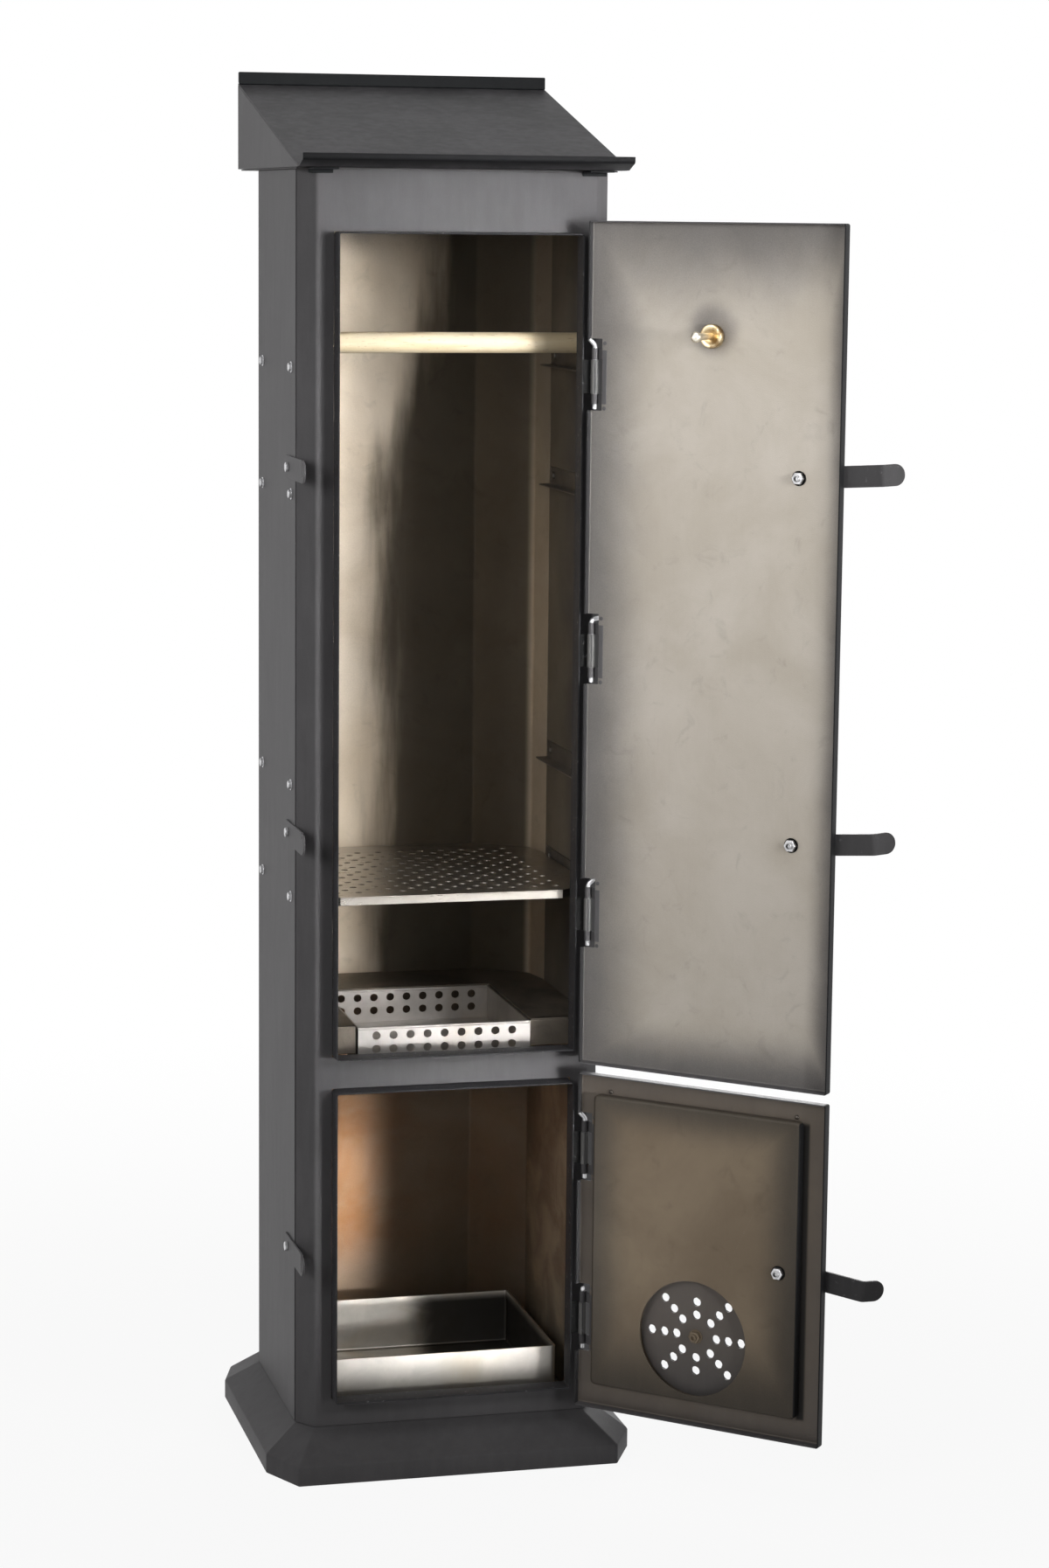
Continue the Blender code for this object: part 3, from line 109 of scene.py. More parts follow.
# Each lever's pivot height, tilt and catch height
LEVERS = {
    "top": (1166.0 * MM, math.radians(4.0), 1164.0 * MM),
    "middle": (757.0 * MM, math.radians(5.3), 744.5 * MM),
    "bottom": (267.0 * MM, math.radians(-6.0), 254.0 * MM),
}
GAUGE_Z = 1318.5 * MM
AIR_Z = 173.0 * MM
AIR_RINGS = (25.5 * MM, 41.0 * MM, 57.0 * MM)
AIR_HOLE = 5.5 * MM
SHIELD_LOW = (-127.95 * MM, 97.3 * MM)
SHIELD_HIGH = (135.05 * MM, 444.2 * MM)
SHIELD_TOP_Y = -165.6 * MM
SHIELD_FOOT_Y = -175.6 * MM

# Racks and trays
RAIL_LINES = (1277.0 * MM, 1134.0 * MM, 801.0 * MM, 671.0 * MM)
SCREW_YS = (80.0 * MM, -100.0 * MM)
DECK_TOP = 516.5 * MM
DECK_FRONT_Y = -108.0 * MM
BASKET_CUT = 104.5 * MM


# Flat outlines

def unit(vectors):
    """Vectors scaled to length one."""
    return vectors / np.maximum(np.linalg.norm(vectors, axis=-1, keepdims=True), 1e-12)


def pairs(u, v):
    """Two runs of numbers, or a run and one number, set side by side as flat points."""
    return np.stack(np.broadcast_arrays(u, v), -1)


def left_of(ways):
    """Unit ways turned a quarter to the left."""
    return pairs(-ways[..., 1], ways[..., 0])


BRACE = 0.5


def arcs(p, a, b, radius, steps):
    """Arcs for corners p between unit ways a and b that turn by w: each has radius r, starts
    r tan(|w|/2) before the corner and is cut into equal turns, with one more point on each
    straight."""
    w = np.arctan2(a[:, 0] * b[:, 1] - a[:, 1] * b[:, 0], (a * b).sum(1))
    radius = np.broadcast_to(radius, w.shape)
    lead = (radius * np.tan(np.abs(w) / 2))[:, None]
    start = p - a * lead
    arm = -left_of(a) * (np.sign(w) * radius)[:, None]
    turn = w[:, None] * np.linspace(0, 1, steps)
    cos, sin = np.cos(turn), np.sin(turn)
    x = (start - arm)[:, :1] + arm[:, :1] * cos - arm[:, 1:] * sin
    y = (start - arm)[:, 1:] + arm[:, :1] * sin + arm[:, 1:] * cos
    first, last = start - a * lead * BRACE, p + b * lead * (1 + BRACE)
    return np.concatenate([first[:, None], pairs(x, y), last[:, None]], 1).reshape(-1, 2)


def offset(path, distance, closed=False):
    """A path moved to its left: each point goes along the sum of its two edge normals, n1 + n2,
    times distance / (1 + n1.n2)."""
    if closed:
        before = unit(path - np.roll(path, 1, 0))
        after = np.roll(before, -1, 0)
    else:
        edges = unit(np.diff(path, axis=0))
        before = np.concatenate([edges[:1], edges])
        after = np.concatenate([edges, edges[-1:]])
    n1, n2 = left_of(before), left_of(after)
    return path + (n1 + n2) * distance / (1 + (n1 * n2).sum(1, keepdims=True))


LEAST_RADIUS = 0.2 * MM


def outline(corners, inset=0.0, radius=0.0, steps=5):
    """A closed anticlockwise outline moved inward and with its corners rounded; an outer corner's
    radius shrinks by the inset and an inner corner's grows by it."""
    p = offset(np.asarray(corners, float), inset, True)
    if np.max(radius) <= 0:
        return p
    a = unit(p - np.roll(p, 1, 0))
    b = np.roll(a, -1, 0)
    outer = a[:, 0] * b[:, 1] - a[:, 1] * b[:, 0] > 0
    r = np.maximum(np.where(outer, radius - inset, radius + inset), LEAST_RADIUS)
    return arcs(p, a, b, r, steps)


def dense(loop, values, step):
    """A closed outline with points added so that none of its edges is longer than about one step;
    the values carried by its points are read off at the same places."""
    closed = np.concatenate([loop, loop[:1]])
    run = np.concatenate([[0.0], np.cumsum(np.linalg.norm(np.diff(closed, axis=0), axis=1))])
    stops = np.union1d(run[:-1], np.arange(0.0, run[-1], step))
    columns = (*loop.T, *values)
    read = [np.interp(stops, run, np.append(column, column[0])) for column in columns]
    return pairs(*read[:2]), read[2:]


def bent(path, radius, steps=6):
    """An open path with its corners rounded."""
    path = np.asarray(path, float)
    a = unit(np.diff(path, axis=0))
    middle = arcs(path[1:-1], a[:-1], a[1:], radius, steps)
    return np.concatenate([path[:1], middle, path[-1:]])


def folded(path, thickness, radius):
    """Closed section of a folded sheet: a rounded path and its copy, offset to the left."""
    line = bent(path, radius)
    return np.concatenate([line, offset(line, thickness)[::-1]])


def rectangle(low_u, low_v, high_u, high_v):
    """Corners of a rectangle, anticlockwise."""
    return np.array([(low_u, low_v), (high_u, low_v), (high_u, high_v), (low_u, high_v)])


def mirrored(half):
    """A right half-outline and its mirror image, as one anticlockwise outline."""
    return np.concatenate([half, half[::-1] * (-1, 1)])


def ring(radius, sides):
    """Points of a circle."""
    t = np.arange(sides) * 2 * math.pi / sides
    return radius * pairs(np.cos(t), np.sin(t))


def quarter(radius, points=5):
    """Insets and drops round a quarter fold: r (1 - cos t) and r (1 - sin t)."""
    turn = np.linspace(0, math.pi / 2, points)
    return [(radius * (1 - math.cos(t)), radius * (1 - math.sin(t))) for t in turn]


def handed(hand, a, b):
    """Two distances to one hand of the middle, as a low and a high place."""
    return sorted((hand * a, hand * b))


# Surfaces: each returns its points and its faces

AXES = {"X": (1, 2, 0), "Y": (0, 2, 1), "Z": (0, 1, 2)}


def spread(flat, plane, height):
    """Flat points lifted into space: (u, v) in the plane and a height along its axis."""
    points = np.zeros((*flat.shape[:-1], 3))
    u, v, w = AXES[plane]
    points[..., u] = flat[..., 0]
    points[..., v] = flat[..., 1]
    points[..., w] = height
    return points


def cells(rows, columns, close_rows=False, close_columns=False):
    """Four-sided faces of a grid of points, wrapped round where a way is closed."""
    i = np.arange(rows if close_rows else rows - 1)[:, None]
    k = np.arange(columns if close_columns else columns - 1)[None, :]
    low, high = i * columns, (i + 1) % rows * columns
    right = (k + 1) % columns
    return np.stack([low + k, low + right, high + right, high + k], -1).reshape(-1, 4)


def loft(loops, closed=False, ends=True):
    """Closed loops of equal length joined in order, with flat ends unless the last meets the first
    or they are left out."""
    loops = np.asarray(loops)
    count, length = loops.shape[:2]
    faces = cells(count, length, closed, True).tolist()
    if ends and not closed:
        faces.append(list(range(length))[::-1])
        faces.append(list(range((count - 1) * length, count * length)))
    return loops.reshape(-1, 3), faces


def many_sided(flat, plane, height):
    """One flat face on all points of an outline."""
    return spread(flat, plane, height), [list(range(len(flat)))]


def slab(corners, plane, low, high, radius=0.0, edge=0.35 * MM):
    """A plate: its outline at four heights, drawn in by the edge at the first and last."""
    wide, slim = (outline(corners, inset, radius) for inset in (0.0, edge))
    levels = ((slim, low), (wide, low + edge), (wide, high - edge), (slim, high))
    return loft([spread(loop, plane, height) for loop, height in levels])


def carried(section, plane, low, high):
    """A section carried straight along the plane's axis."""
    return loft([spread(section, plane, low), spread(section, plane, high)])


def sheet(front, back, keep=None):
    """A sheet with thickness: two matching grids, joined along the rim of the kept cells."""
    rows, columns = front.shape[:2]
    count = rows * columns
    index = np.arange(count).reshape(rows, columns)
    keep = np.ones((rows - 1, columns - 1), bool) if keep is None else keep
    quads = cells(rows, columns)[keep.ravel()]
    rim = np.pad(keep, 1)
    across = rim[:-1, 1:-1] != rim[1:, 1:-1]
    upward = rim[1:-1, :-1] != rim[1:-1, 1:]
    starts = np.concatenate([index[:, :-1][across], index[:-1, :][upward]])
    ends = np.concatenate([index[:, 1:][across], index[1:, :][upward]])
    walls = np.stack([starts, ends, ends + count, starts + count], -1)
    faces = np.concatenate([quads, quads[:, ::-1] + count, walls])
    points = np.concatenate([front.reshape(-1, 3), back.reshape(-1, 3)])
    return points, faces.tolist()


POLE_RADIUS = 0.01 * MM


def spun(profile, sides, place):
    """A profile of (radius, height) pairs turned about an axis and then placed; a pole is a tiny
    circle."""
    circle = ring(1.0, sides)
    loops = [spread(circle * max(r, POLE_RADIUS), "Z", h) for r, h in profile]
    points, faces = loft(loops)
    return moved(points, place), faces


def tube(path, radius, sides, across):
    """A round rod: circles of given radii set square to a path; across lies square to the path's
    bend."""
    way = unit(np.gradient(path, axis=0))
    side = unit(np.cross(way, across))
    other = np.cross(side, way)
    circle = ring(1.0, sides)
    arms = side[:, None] * circle[:, :1] + other[:, None] * circle[:, 1:]
    return loft(path[:, None] + np.broadcast_to(radius, len(path))[:, None, None] * arms)


def around(across, up):
    """Points round a unit square, anticlockwise, at steps along its level and upright sides."""
    sides = (across, 0.0), (1.0, up), (1 - across, 1.0), (0.0, 1 - up)
    return np.concatenate([pairs(u, v) for u, v in sides])


STEP = np.arange(4) / 4
SQUARE = around(STEP, STEP)


def punched(low, high, centre, radius, plane, heights, warp=None):
    """A field of cells, each a rectangle of sixteen rim points joined to a round hole of sixteen
    points, on both faces of a sheet and down the hole's wall; warp bends the rectangles."""
    rim = low[:, None] + SQUARE * (high - low)[:, None]
    rim = rim if warp is None else warp(rim)
    hole = centre[:, None] + unit(rim - centre[:, None]) * radius
    loops = (rim, hole, hole, rim)
    levels = zip(loops, np.repeat(heights, 2))
    points = np.stack([spread(flat, plane, height) for flat, height in levels], 1)
    cell = cells(len(loops), len(SQUARE), False, True)
    starts = np.arange(len(low)) * len(loops) * len(SQUARE)
    faces = cell + starts[:, None, None]
    return points.reshape(-1, 3), faces.reshape(-1, 4).tolist()


def moved(points, matrix):
    """Points carried by a 4x4 matrix."""
    m = np.array(matrix)
    return points @ m[:3, :3].T + m[:3, 3]


def shifted(part, matrix):
    """A surface carried by a matrix."""
    return moved(part[0], matrix), part[1]


def along(axis, x, y, z):
    """A matrix that takes +Z to an axis and the origin to a place."""
    turn = Vector((0, 0, 1)).rotation_difference(Vector(axis)).to_matrix().to_4x4()
    return Matrix.Translation((x, y, z)) @ turn


HINGE_PLACE = Vector((*HINGE, 0))
SWING = (
    Matrix.Translation(HINGE_PLACE)
    @ Matrix.Rotation(OPEN_ANGLE, 4, "Z")
    @ Matrix.Translation(-HINGE_PLACE)
)


# Pieces

LARGE_FACE = 6e-4
SAME_PLACE = 0.005 * MM
SHARP_ANGLE = math.radians(38)
BEVEL_ANGLE = math.radians(40)


def all_marked(parts, value=0.0):
    """The same mark on every point of each part."""
    return [np.full(len(points), value) for points, _ in parts]


def cleaned(mesh):
    """Drop loose points, merge doubles and face everything outward."""
    bm = bmesh.new()
    bm.from_mesh(mesh)
    loose = [point for point in bm.verts if not point.link_faces]
    bmesh.ops.delete(bm, geom=loose, context="VERTS")
    bmesh.ops.remove_doubles(bm, verts=bm.verts, dist=SAME_PLACE)
    bmesh.ops.recalc_face_normals(bm, faces=bm.faces)
    bm.to_mesh(mesh)
    bm.free()


def piece(name, parts, body, look, stands_for=(), edge=0.0, swing=None, marks=None):
    """One object from surfaces: merged, faced outward, smoothed, and set on its body. The attribute
    drawn keeps each point's place with the doors closed; marks add one value for each point."""
    drawn = np.concatenate([points for points, _ in parts])
    starts = np.cumsum([0] + [len(points) for points, _ in parts])
    faces = [[i + start for i in face] for (_, part), start in zip(parts, starts) for face in part]
    points = drawn if swing is None else moved(drawn, swing)
    mesh = bpy.data.meshes.new(name)
    mesh.from_pydata(points.tolist(), [], faces)
    place = mesh.attributes.new("drawn", "FLOAT_VECTOR", "POINT")
    place.data.foreach_set("vector", drawn.astype(np.float32).ravel())
    if marks is not None:
        values = mesh.attributes.new("bare", "FLOAT", "POINT")
        values.data.foreach_set("value", np.concatenate(marks).astype(np.float32))
    cleaned(mesh)
    areas, sides = np.zeros(len(mesh.polygons)), np.zeros(len(mesh.polygons), int)
    mesh.polygons.foreach_get("area", areas)
    mesh.polygons.foreach_get("loop_total", sides)
    mesh.polygons.foreach_set("use_smooth", (sides <= 4) & (areas < LARGE_FACE))
    mesh.set_sharp_from_angle(angle=SHARP_ANGLE)
    mesh.materials.append(look)
    obj = bpy.data.objects.new(name, mesh)
    bpy.context.scene.collection.objects.link(obj)
    if edge:
        bevel = obj.modifiers.new("edge", "BEVEL")
        bevel.width = edge
        bevel.segments = 2
        bevel.limit_method = "ANGLE"
        bevel.angle_limit = BEVEL_ANGLE
    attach(obj, body)
    if stands_for:
        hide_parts(*stands_for)


def dress(look, *nodes):
    """Give carried-over solids a finish."""
    for name in nodes:
        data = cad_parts[name].data
        data.materials.clear()
        data.materials.append(look)


# Finishes

class Value:
    """A node's outlet that takes part in sums."""

    def __init__(self, finish, socket):
        self.finish = finish
        self.socket = socket

    def __add__(self, other):
        return self.finish.math("ADD", self, other)

    __radd__ = __add__

    def __sub__(self, other):
        return self.finish.math("SUBTRACT", self, other)

    def __rsub__(self, other):
        return self.finish.math("SUBTRACT", other, self)

    def __mul__(self, other):
        return self.finish.math("MULTIPLY", self, other)

    __rmul__ = __mul__

    def __truediv__(self, other):
        return self.finish.math("DIVIDE", self, other)

    def __pow__(self, other):
        return self.finish.math("POWER", self, other)


class Finish:
    """The nodes of a material, or of a world when its list is given; node() adds any node, and sums
    of values add Math nodes."""

    def __init__(self, name, owners=None):
        self.owner = (bpy.data.materials if owners is None else owners).new(name)
        self.owner.use_nodes = True
        self.tree = self.owner.node_tree
        self.tree.nodes.clear()

    def node(self, kind, settings=None, sockets=None, outlet=0):
        """Add one node: settings first, then a value or a link for each named socket."""
        made = self.tree.nodes.new(kind)
        for key, value in (settings or {}).items():
            setattr(made, key, value)
        inlets = {socket.identifier: socket for socket in made.inputs}
        for key, value in (sockets or {}).items():
            inlet = inlets.get(key) or made.inputs[key]
            if isinstance(value, Value):
                self.tree.links.new(value.socket, inlet)
            else:
                inlet.default_value = value
        outs = {socket.identifier: socket for socket in made.outputs}
        if not outs:
            return None
        return Value(self, outs[outlet] if outlet in outs else made.outputs[outlet])

    def math(self, operation, a, b=0.0):
        """One Math node on two numbers."""
        return self.node("ShaderNodeMath", {"operation": operation}, {0: a, 1: b})

    def least(self, a, b):
        """The smaller of two numbers."""
        return self.math("MINIMUM", a, b)

    def most(self, a, b):
        """The larger of two numbers."""
        return self.math("MAXIMUM", a, b)

    def object_place(self):
        """Object coordinates."""
        return self.node("ShaderNodeTexCoord", outlet="Object")

    def mark(self, name, outlet="Fac"):
        """An attribute of the mesh."""
        return self.node("ShaderNodeAttribute", {"attribute_name": name}, outlet=outlet)

    def axes(self, vector):
        """The three parts of a vector."""
        split = self.node("ShaderNodeSeparateXYZ", sockets={0: vector})
        return [Value(self, outlet) for outlet in split.socket.node.outputs]

    def seen(self):
        """1 for what the camera sees directly, in a reflection or through glass."""
        rays = self.node("ShaderNodeLightPath").socket.node.outputs
        kinds = ("Is Camera Ray", "Is Glossy Ray", "Is Transmission Ray")
        camera, glossy, through = [Value(self, rays[kind]) for kind in kinds]
        return self.most(camera, self.most(glossy, through))

    def scaled(self, vector, scale):
        """A vector times three numbers."""
        return self.node("ShaderNodeVectorMath", {"operation": "MULTIPLY"}, {0: vector, 1: scale})

    def noise(self, vector, scale, detail=3.0, rough=0.5, warp=0.0):
        """Even noise from 0 to 1."""
        sockets = {"Vector": vector, "Scale": scale, "Detail": detail}
        sockets.update({"Roughness": rough, "Distortion": warp})
        return self.node("ShaderNodeTexNoise", None, sockets)

    def smooth(self, value, low, high, to_low=0.0, to_high=1.0):
        """A smooth step between two values."""
        settings = {"interpolation_type": "SMOOTHSTEP"}
        sockets = dict(enumerate((value, low, high, to_low, to_high)))
        return self.node("ShaderNodeMapRange", settings, sockets)

    def mix(self, factor, a, b):
        """Two colours mixed."""
        sockets = {"Factor_Float": factor, "A_Color": a, "B_Color": b}
        return self.node("ShaderNodeMix", {"data_type": "RGBA"}, sockets, "Result_Color")

    def bump(self, height, strength, depth, below=None):
        """A normal from a height."""
        sockets = {"Strength": strength, "Distance": depth, "Height": height}
        if below is not None:
            sockets["Normal"] = below
        return self.node("ShaderNodeBump", None, sockets)

    def surface(self, **sockets):
        """The shader, with sockets named by words joined with underscores."""
        named = {
            key.replace("_", " ").title().replace("Ior", "IOR"): value
            for key, value in sockets.items()
        }
        shader = self.node("ShaderNodeBsdfPrincipled", None, named)
        self.node("ShaderNodeOutputMaterial", None, {"Surface": shader})
        return self.owner


def tint(red, green, blue):
    """A colour."""
    return (red, green, blue, 1.0)


def toned(tone, share, top=1.0):
    """A colour made lighter or darker, up to a limit."""
    return tint(*[min(c * share, top) for c in tone])


PAINT_TONE = (0.130, 0.126, 0.130)
PAINT_GLOSS = 0.08
GREY_STEEL = tint(0.20, 0.196, 0.192)
WORN_STEEL = tint(0.45, 0.45, 0.46)
TRIM_BLACK = tint(0.010, 0.010, 0.011)
DEEP_BLACK = tint(0.006, 0.006, 0.006)
GRIME = tint(0.05, 0.045, 0.04)
PAN_SHADE = tint(0.020, 0.018, 0.016)
HEAT_TINT = (0.60, 0.27, 0.085)
WARM_STAIN = (0.78, 0.68, 0.52)
DOOR_BARE = ((0.47, 0.43, 0.38), (0.40, 0.36, 0.305))
WALL_BARE = ((0.74, 0.64, 0.52), (0.60, 0.50, 0.38))
SCORCHED_BARE = ((0.215, 0.170, 0.120), (0.165, 0.128, 0.090))


def paint_parts(f, place, tone, cloud=0.09):
    """Colour, roughness and normal of stove paint: fine pebbles over slow mottling and faint rub
    marks."""
    pebble = f.noise(place, 1100.0, 2.0, 0.6)
    mottle = f.noise(place, 11.0, 5.0, 0.62)
    rub = f.noise(f.scaled(place, (9.0, 9.0, 1.6)), 9.0, 4.0, 0.6)
    cloudy = f.smooth(0.6 * mottle + 0.4 * rub, 0.34, 0.68)
    colour = f.mix(cloudy, toned(tone, 1.0 - cloud), toned(tone, 1.0 + cloud))
    colour = f.mix(f.smooth(pebble, 0.60, 0.82, 0.0, 0.35), colour, toned(tone, 1.9))
    rough = 0.36 + 0.12 * pebble + 0.14 * mottle
    normal = f.bump(pebble, 0.35, 0.5 * MM, f.bump(f.noise(place, 5.0, 2.0), 0.25, 4.0 * MM))
    return colour, rough, normal


def stove_paint(name, tone, cloud=0.09):
    """Matt stove paint all over, black where the mesh is marked."""
    f = Finish(name)
    colour, rough, normal = paint_parts(f, f.object_place(), tone, cloud)
    colour = f.mix(f.mark("bare"), colour, TRIM_BLACK)
    return f.surface(
        base_color=colour, roughness=rough, normal=normal, specular_ior_level=PAINT_GLOSS
    )


def bare_parts(f, place, grain, light, gold):
    """Colour, roughness and height of bare sheet: a fine grain along one way, cloudy heat tint, rub
    marks."""
    lines = f.noise(f.scaled(place, grain), 60.0, 5.0, 0.7)
    cloud = f.noise(place, 7.0, 5.0, 0.6, 0.4)
    spots = f.noise(place, 34.0, 4.0, 0.6, 0.8)
    colour = f.mix(f.smooth(cloud, 0.32, 0.70), tint(*light), tint(*gold))
    colour = f.mix(f.smooth(spots, 0.55, 0.78, 0.0, 0.22), colour, toned(gold, 0.35))
    colour = f.mix(0.16 * lines, colour, toned(light, 1.35, 0.9))
    rough = 0.30 + 0.18 * lines + 0.14 * cloud
    return colour, rough, lines


UPRIGHT_GRAIN = (6.0, 6.0, 0.4)


def sprayed(
    name, mask_of, place_of, bare, heat_of=None, shade_of=None,
    painted_shade=(0.020, 0.020, 0.021), tone=PAINT_TONE, metal=0.5,
):
    """Bare sheet that dark paint mist has drifted over: the mask is 1 where the metal is clean.
    Heat, when given, turns the metal brown, and painted shade turns it almost black."""
    f = Finish(name)
    place = place_of(f)
    colour, rough, lines = bare_parts(f, place, UPRIGHT_GRAIN, *bare)
    if heat_of is not None:
        colour = f.mix(heat_of(f, place), colour, tint(*HEAT_TINT))
    painted, dull, pebbled = paint_parts(f, f.object_place(), tone)
    mask = mask_of(f, place)
    speckle = f.noise(place, 700.0, 2.0, 0.6)
    mask = f.smooth(mask + 0.22 * speckle - 0.11, 0.0, 1.0)
    base = f.mix(mask, painted, colour)
    shine = metal * mask
    if shade_of is not None:
        shade = shade_of(f, place)
        base = f.mix(shade, base, tint(*painted_shade))
        shine = shine * (1.0 - shade)
    return f.surface(
        base_color=base, roughness=dull + mask * (rough - dull), metallic=shine,
        normal=f.bump(lines, 0.05, 0.4 * MM, pebbled), specular_ior_level=PAINT_GLOSS,
    )


def drawn_place(f):
    """Place with the doors closed."""
    return f.mark("drawn", "Vector")


def door_mask(low, high, widths, least_clean, only_inside=True, spot=None):
    """Clean metal inside a wavy border: the least of the distances to the four edges, each over its
    own width, pushed about by slow noise; the mist is thin, so some metal shows even at the edges.
    The metal darkens a little towards the foot, and round a spot when one is given: painted shade.
    Nothing is bare on the outside of the door."""
    def mask(f, place):
        x, _, z = f.axes(place)
        wave = f.noise(place, 8.0, 4.0, 0.55, 0.5) - 0.5
        drift = f.noise(f.scaled(place, (3.0, 1.0, 1.0)), 3.0, 2.0, 0.5) - 0.5
        free, hinge, foot, head = widths
        edge = f.least((x - low[0]) / free, (high[0] - x) / hinge)
        edge = f.least(edge, f.least((z - low[1]) / foot, (high[1] - z) / head))
        clean = f.smooth(edge + 0.45 * wave + 0.35 * drift, -0.05, 1.15, least_clean, 1.0)
        clean = clean * f.smooth(z, low[1], low[1] + 0.75 * (high[1] - low[1]), 0.86, 1.0)
        if spot is not None:
            away = ((x - spot[0]) ** 2.0 + (z - spot[1]) ** 2.0) ** 0.5
            clean = clean * f.smooth(away + 0.02 * wave, 0.012, 0.040, 0.45, 1.0)
        return clean * f.mark("bare") if only_inside else clean
    return mask


def flange_shade(f, place):
    """Painted shade on the flanges at the door's free edge and at its hinges."""
    x, y, _ = f.axes(place)
    free = f.smooth(x, DOOR_FREE_X + 2.6 * MM, DOOR_FREE_X + 1.8 * MM)
    hinge = f.smooth(x, DOOR_HINGE_X - 3.0 * MM, DOOR_HINGE_X - 1.8 * MM, 0.0, 0.75)
    return f.most(free, hinge) * f.smooth(y, DOOR_OUT_Y + 1.6 * MM, DOOR_OUT_Y + 2.6 * MM)


def lower_door_shade(f, place):
    """Painted shade on the flanges, and the heat shield's painted shadow on the door along the
    shield's free edge.
    """
    x, _, z = f.axes(place)
    (free, foot), head = SHIELD_LOW, SHIELD_HIGH[1]
    beside = f.smooth(x, free - 9.0 * MM, free - 5.0 * MM) * f.smooth(x, free + 5.0 * MM, free)
    level = f.smooth(z, foot - 4.0 * MM, foot) * f.smooth(z, head, head - 6.0 * MM)
    return f.most(flange_shade(f, place), 0.9 * beside * level * f.mark("bare"))


def shield_shade(f, place):
    """Painted shade on the heat shield's free edge."""
    x = f.axes(place)[0]
    return f.smooth(x, SHIELD_LOW[0] + 2.6 * MM, SHIELD_LOW[0] + 1.2 * MM)


TOP_MIST = 85.0 * MM
FRONT_MIST = 220.0 * MM


def chamber_mask(f, place):
    """Clean metal on the cabinet's inside: mist hangs along the top and the front corners, and
    smoke deposits darken the wall in slow clouds."""
    _, y, z = f.axes(place)
    wave = f.noise(place, 6.0, 4.0, 0.55, 0.5) - 0.5
    edge = f.least((BODY_TOP - z) / TOP_MIST, (y - FRONT_Y) / FRONT_MIST)
    clean = f.smooth(edge + 0.9 * wave, 0.15, 1.2)
    slow = f.noise(f.scaled(place, (1.0, 1.0, 0.45)), 5.0, 3.0, 0.5)
    return clean * f.smooth(slow, 0.36, 0.62, 1.0, 0.7) * f.mark("bare")


# Where the painted shade on the cabinet's inside lies, and where it thins
LAST_FOLD_X = (160.0 * MM, 169.0 * MM)
LAST_FOLD_Y = (110.5 * MM, 112.5 * MM)
SHADE_BORDER = (-40.0 * MM, 12.0 * MM)
LIT_PATCH_X = (6.0 * MM, -52.0 * MM)
LIT_PATCH_Z = (345.0 * MM, 265.0 * MM)


def chamber_shade(f, place):
    """Painted shade on the cabinet's inside. Above the deck it lies right of the back wall's left
    third, less far towards the top, with streaks down its border, and thins on the last fold before
    the right wall, a painted highlight there; below, it thins in a patch beside the fire, a painted
    pool of light, and thickens towards the firebox's top."""
    x, y, z = f.axes(place)
    streak = f.noise(f.scaled(place, (5.0, 5.0, 0.6)), 8.0, 4.0, 0.55) - 0.5
    wave = f.noise(place, 9.0, 4.0, 0.55, 0.5) - 0.5
    above = f.smooth(z, DECK_TOP - 0.03, DECK_TOP)
    fold = f.smooth(x, *LAST_FOLD_X) * f.smooth(y, *LAST_FOLD_Y)
    fold = fold * f.smooth(z, 1.40, 0.85, 0.35, 1.0)
    border = x + 0.07 * streak - f.smooth(z, 1.10, 1.36, 0.0, 0.065)
    chamber = f.smooth(border, *SHADE_BORDER) * (0.80 - 0.60 * fold)
    patch = f.smooth(x + 0.05 * wave, *LIT_PATCH_X) * f.smooth(z + 0.06 * wave, *LIT_PATCH_Z)
    firebox = 0.60 + f.smooth(z, 0.32, 0.42, 0.0, 0.24) - 0.40 * patch
    return f.mark("bare") * (above * chamber + (1.0 - above) * firebox)


def firebox_heat(f, place):
    """Straw to orange heat tint beside the fire, weaker towards the floor and to the right."""
    x, _, z = f.axes(place)
    fire = f.smooth(z, 0.52, 0.42) * f.smooth(z, 0.12, 0.20, 0.35, 1.0)
    fire = fire * f.smooth(x, 0.06, -0.06, 0.45, 1.0)
    return fire * f.smooth(f.noise(place, 9.0, 4.0, 0.6, 0.6), 0.30, 0.66, 0.55, 1.0)


def bright_sheet(name, tone, grain, dull=0.0, painted_shade=0.0):
    """Stainless sheet: fine lines along its rolling way, faint smudges and a few warm stains, and a
    painted shadow where the mesh is marked, thicker to the right."""
    f = Finish(name)
    place = f.object_place()
    lines = f.noise(f.scaled(place, grain), 90.0, 4.0, 0.7)
    smudge = f.noise(place, 16.0, 5.0, 0.6, 0.5)
    stain = f.smooth(f.noise(place, 9.0, 4.0, 0.55, 0.7), 0.50, 0.72, 0.0, 0.45)
    colour = f.mix(f.smooth(smudge, 0.35, 0.70), tint(*tone), toned(tone, 0.82))
    colour = f.mix(stain, colour, tint(*[c * share for c, share in zip(tone, WARM_STAIN)]))
    if painted_shade:
        x = f.axes(place)[0]
        shaded = f.mark("bare") * f.smooth(x + 0.03 * smudge, 0.020, 0.060, 0.0, painted_shade)
        colour = f.mix(shaded, colour, PAN_SHADE)
    rough = 0.24 + dull + 0.16 * lines + 0.16 * smudge
    normal = f.bump(lines, 0.06, 0.3 * MM, f.bump(f.noise(place, 7.0, 2.0), 0.2, 2.0 * MM))
    return f.surface(base_color=colour, roughness=rough, metallic=0.92, normal=normal)


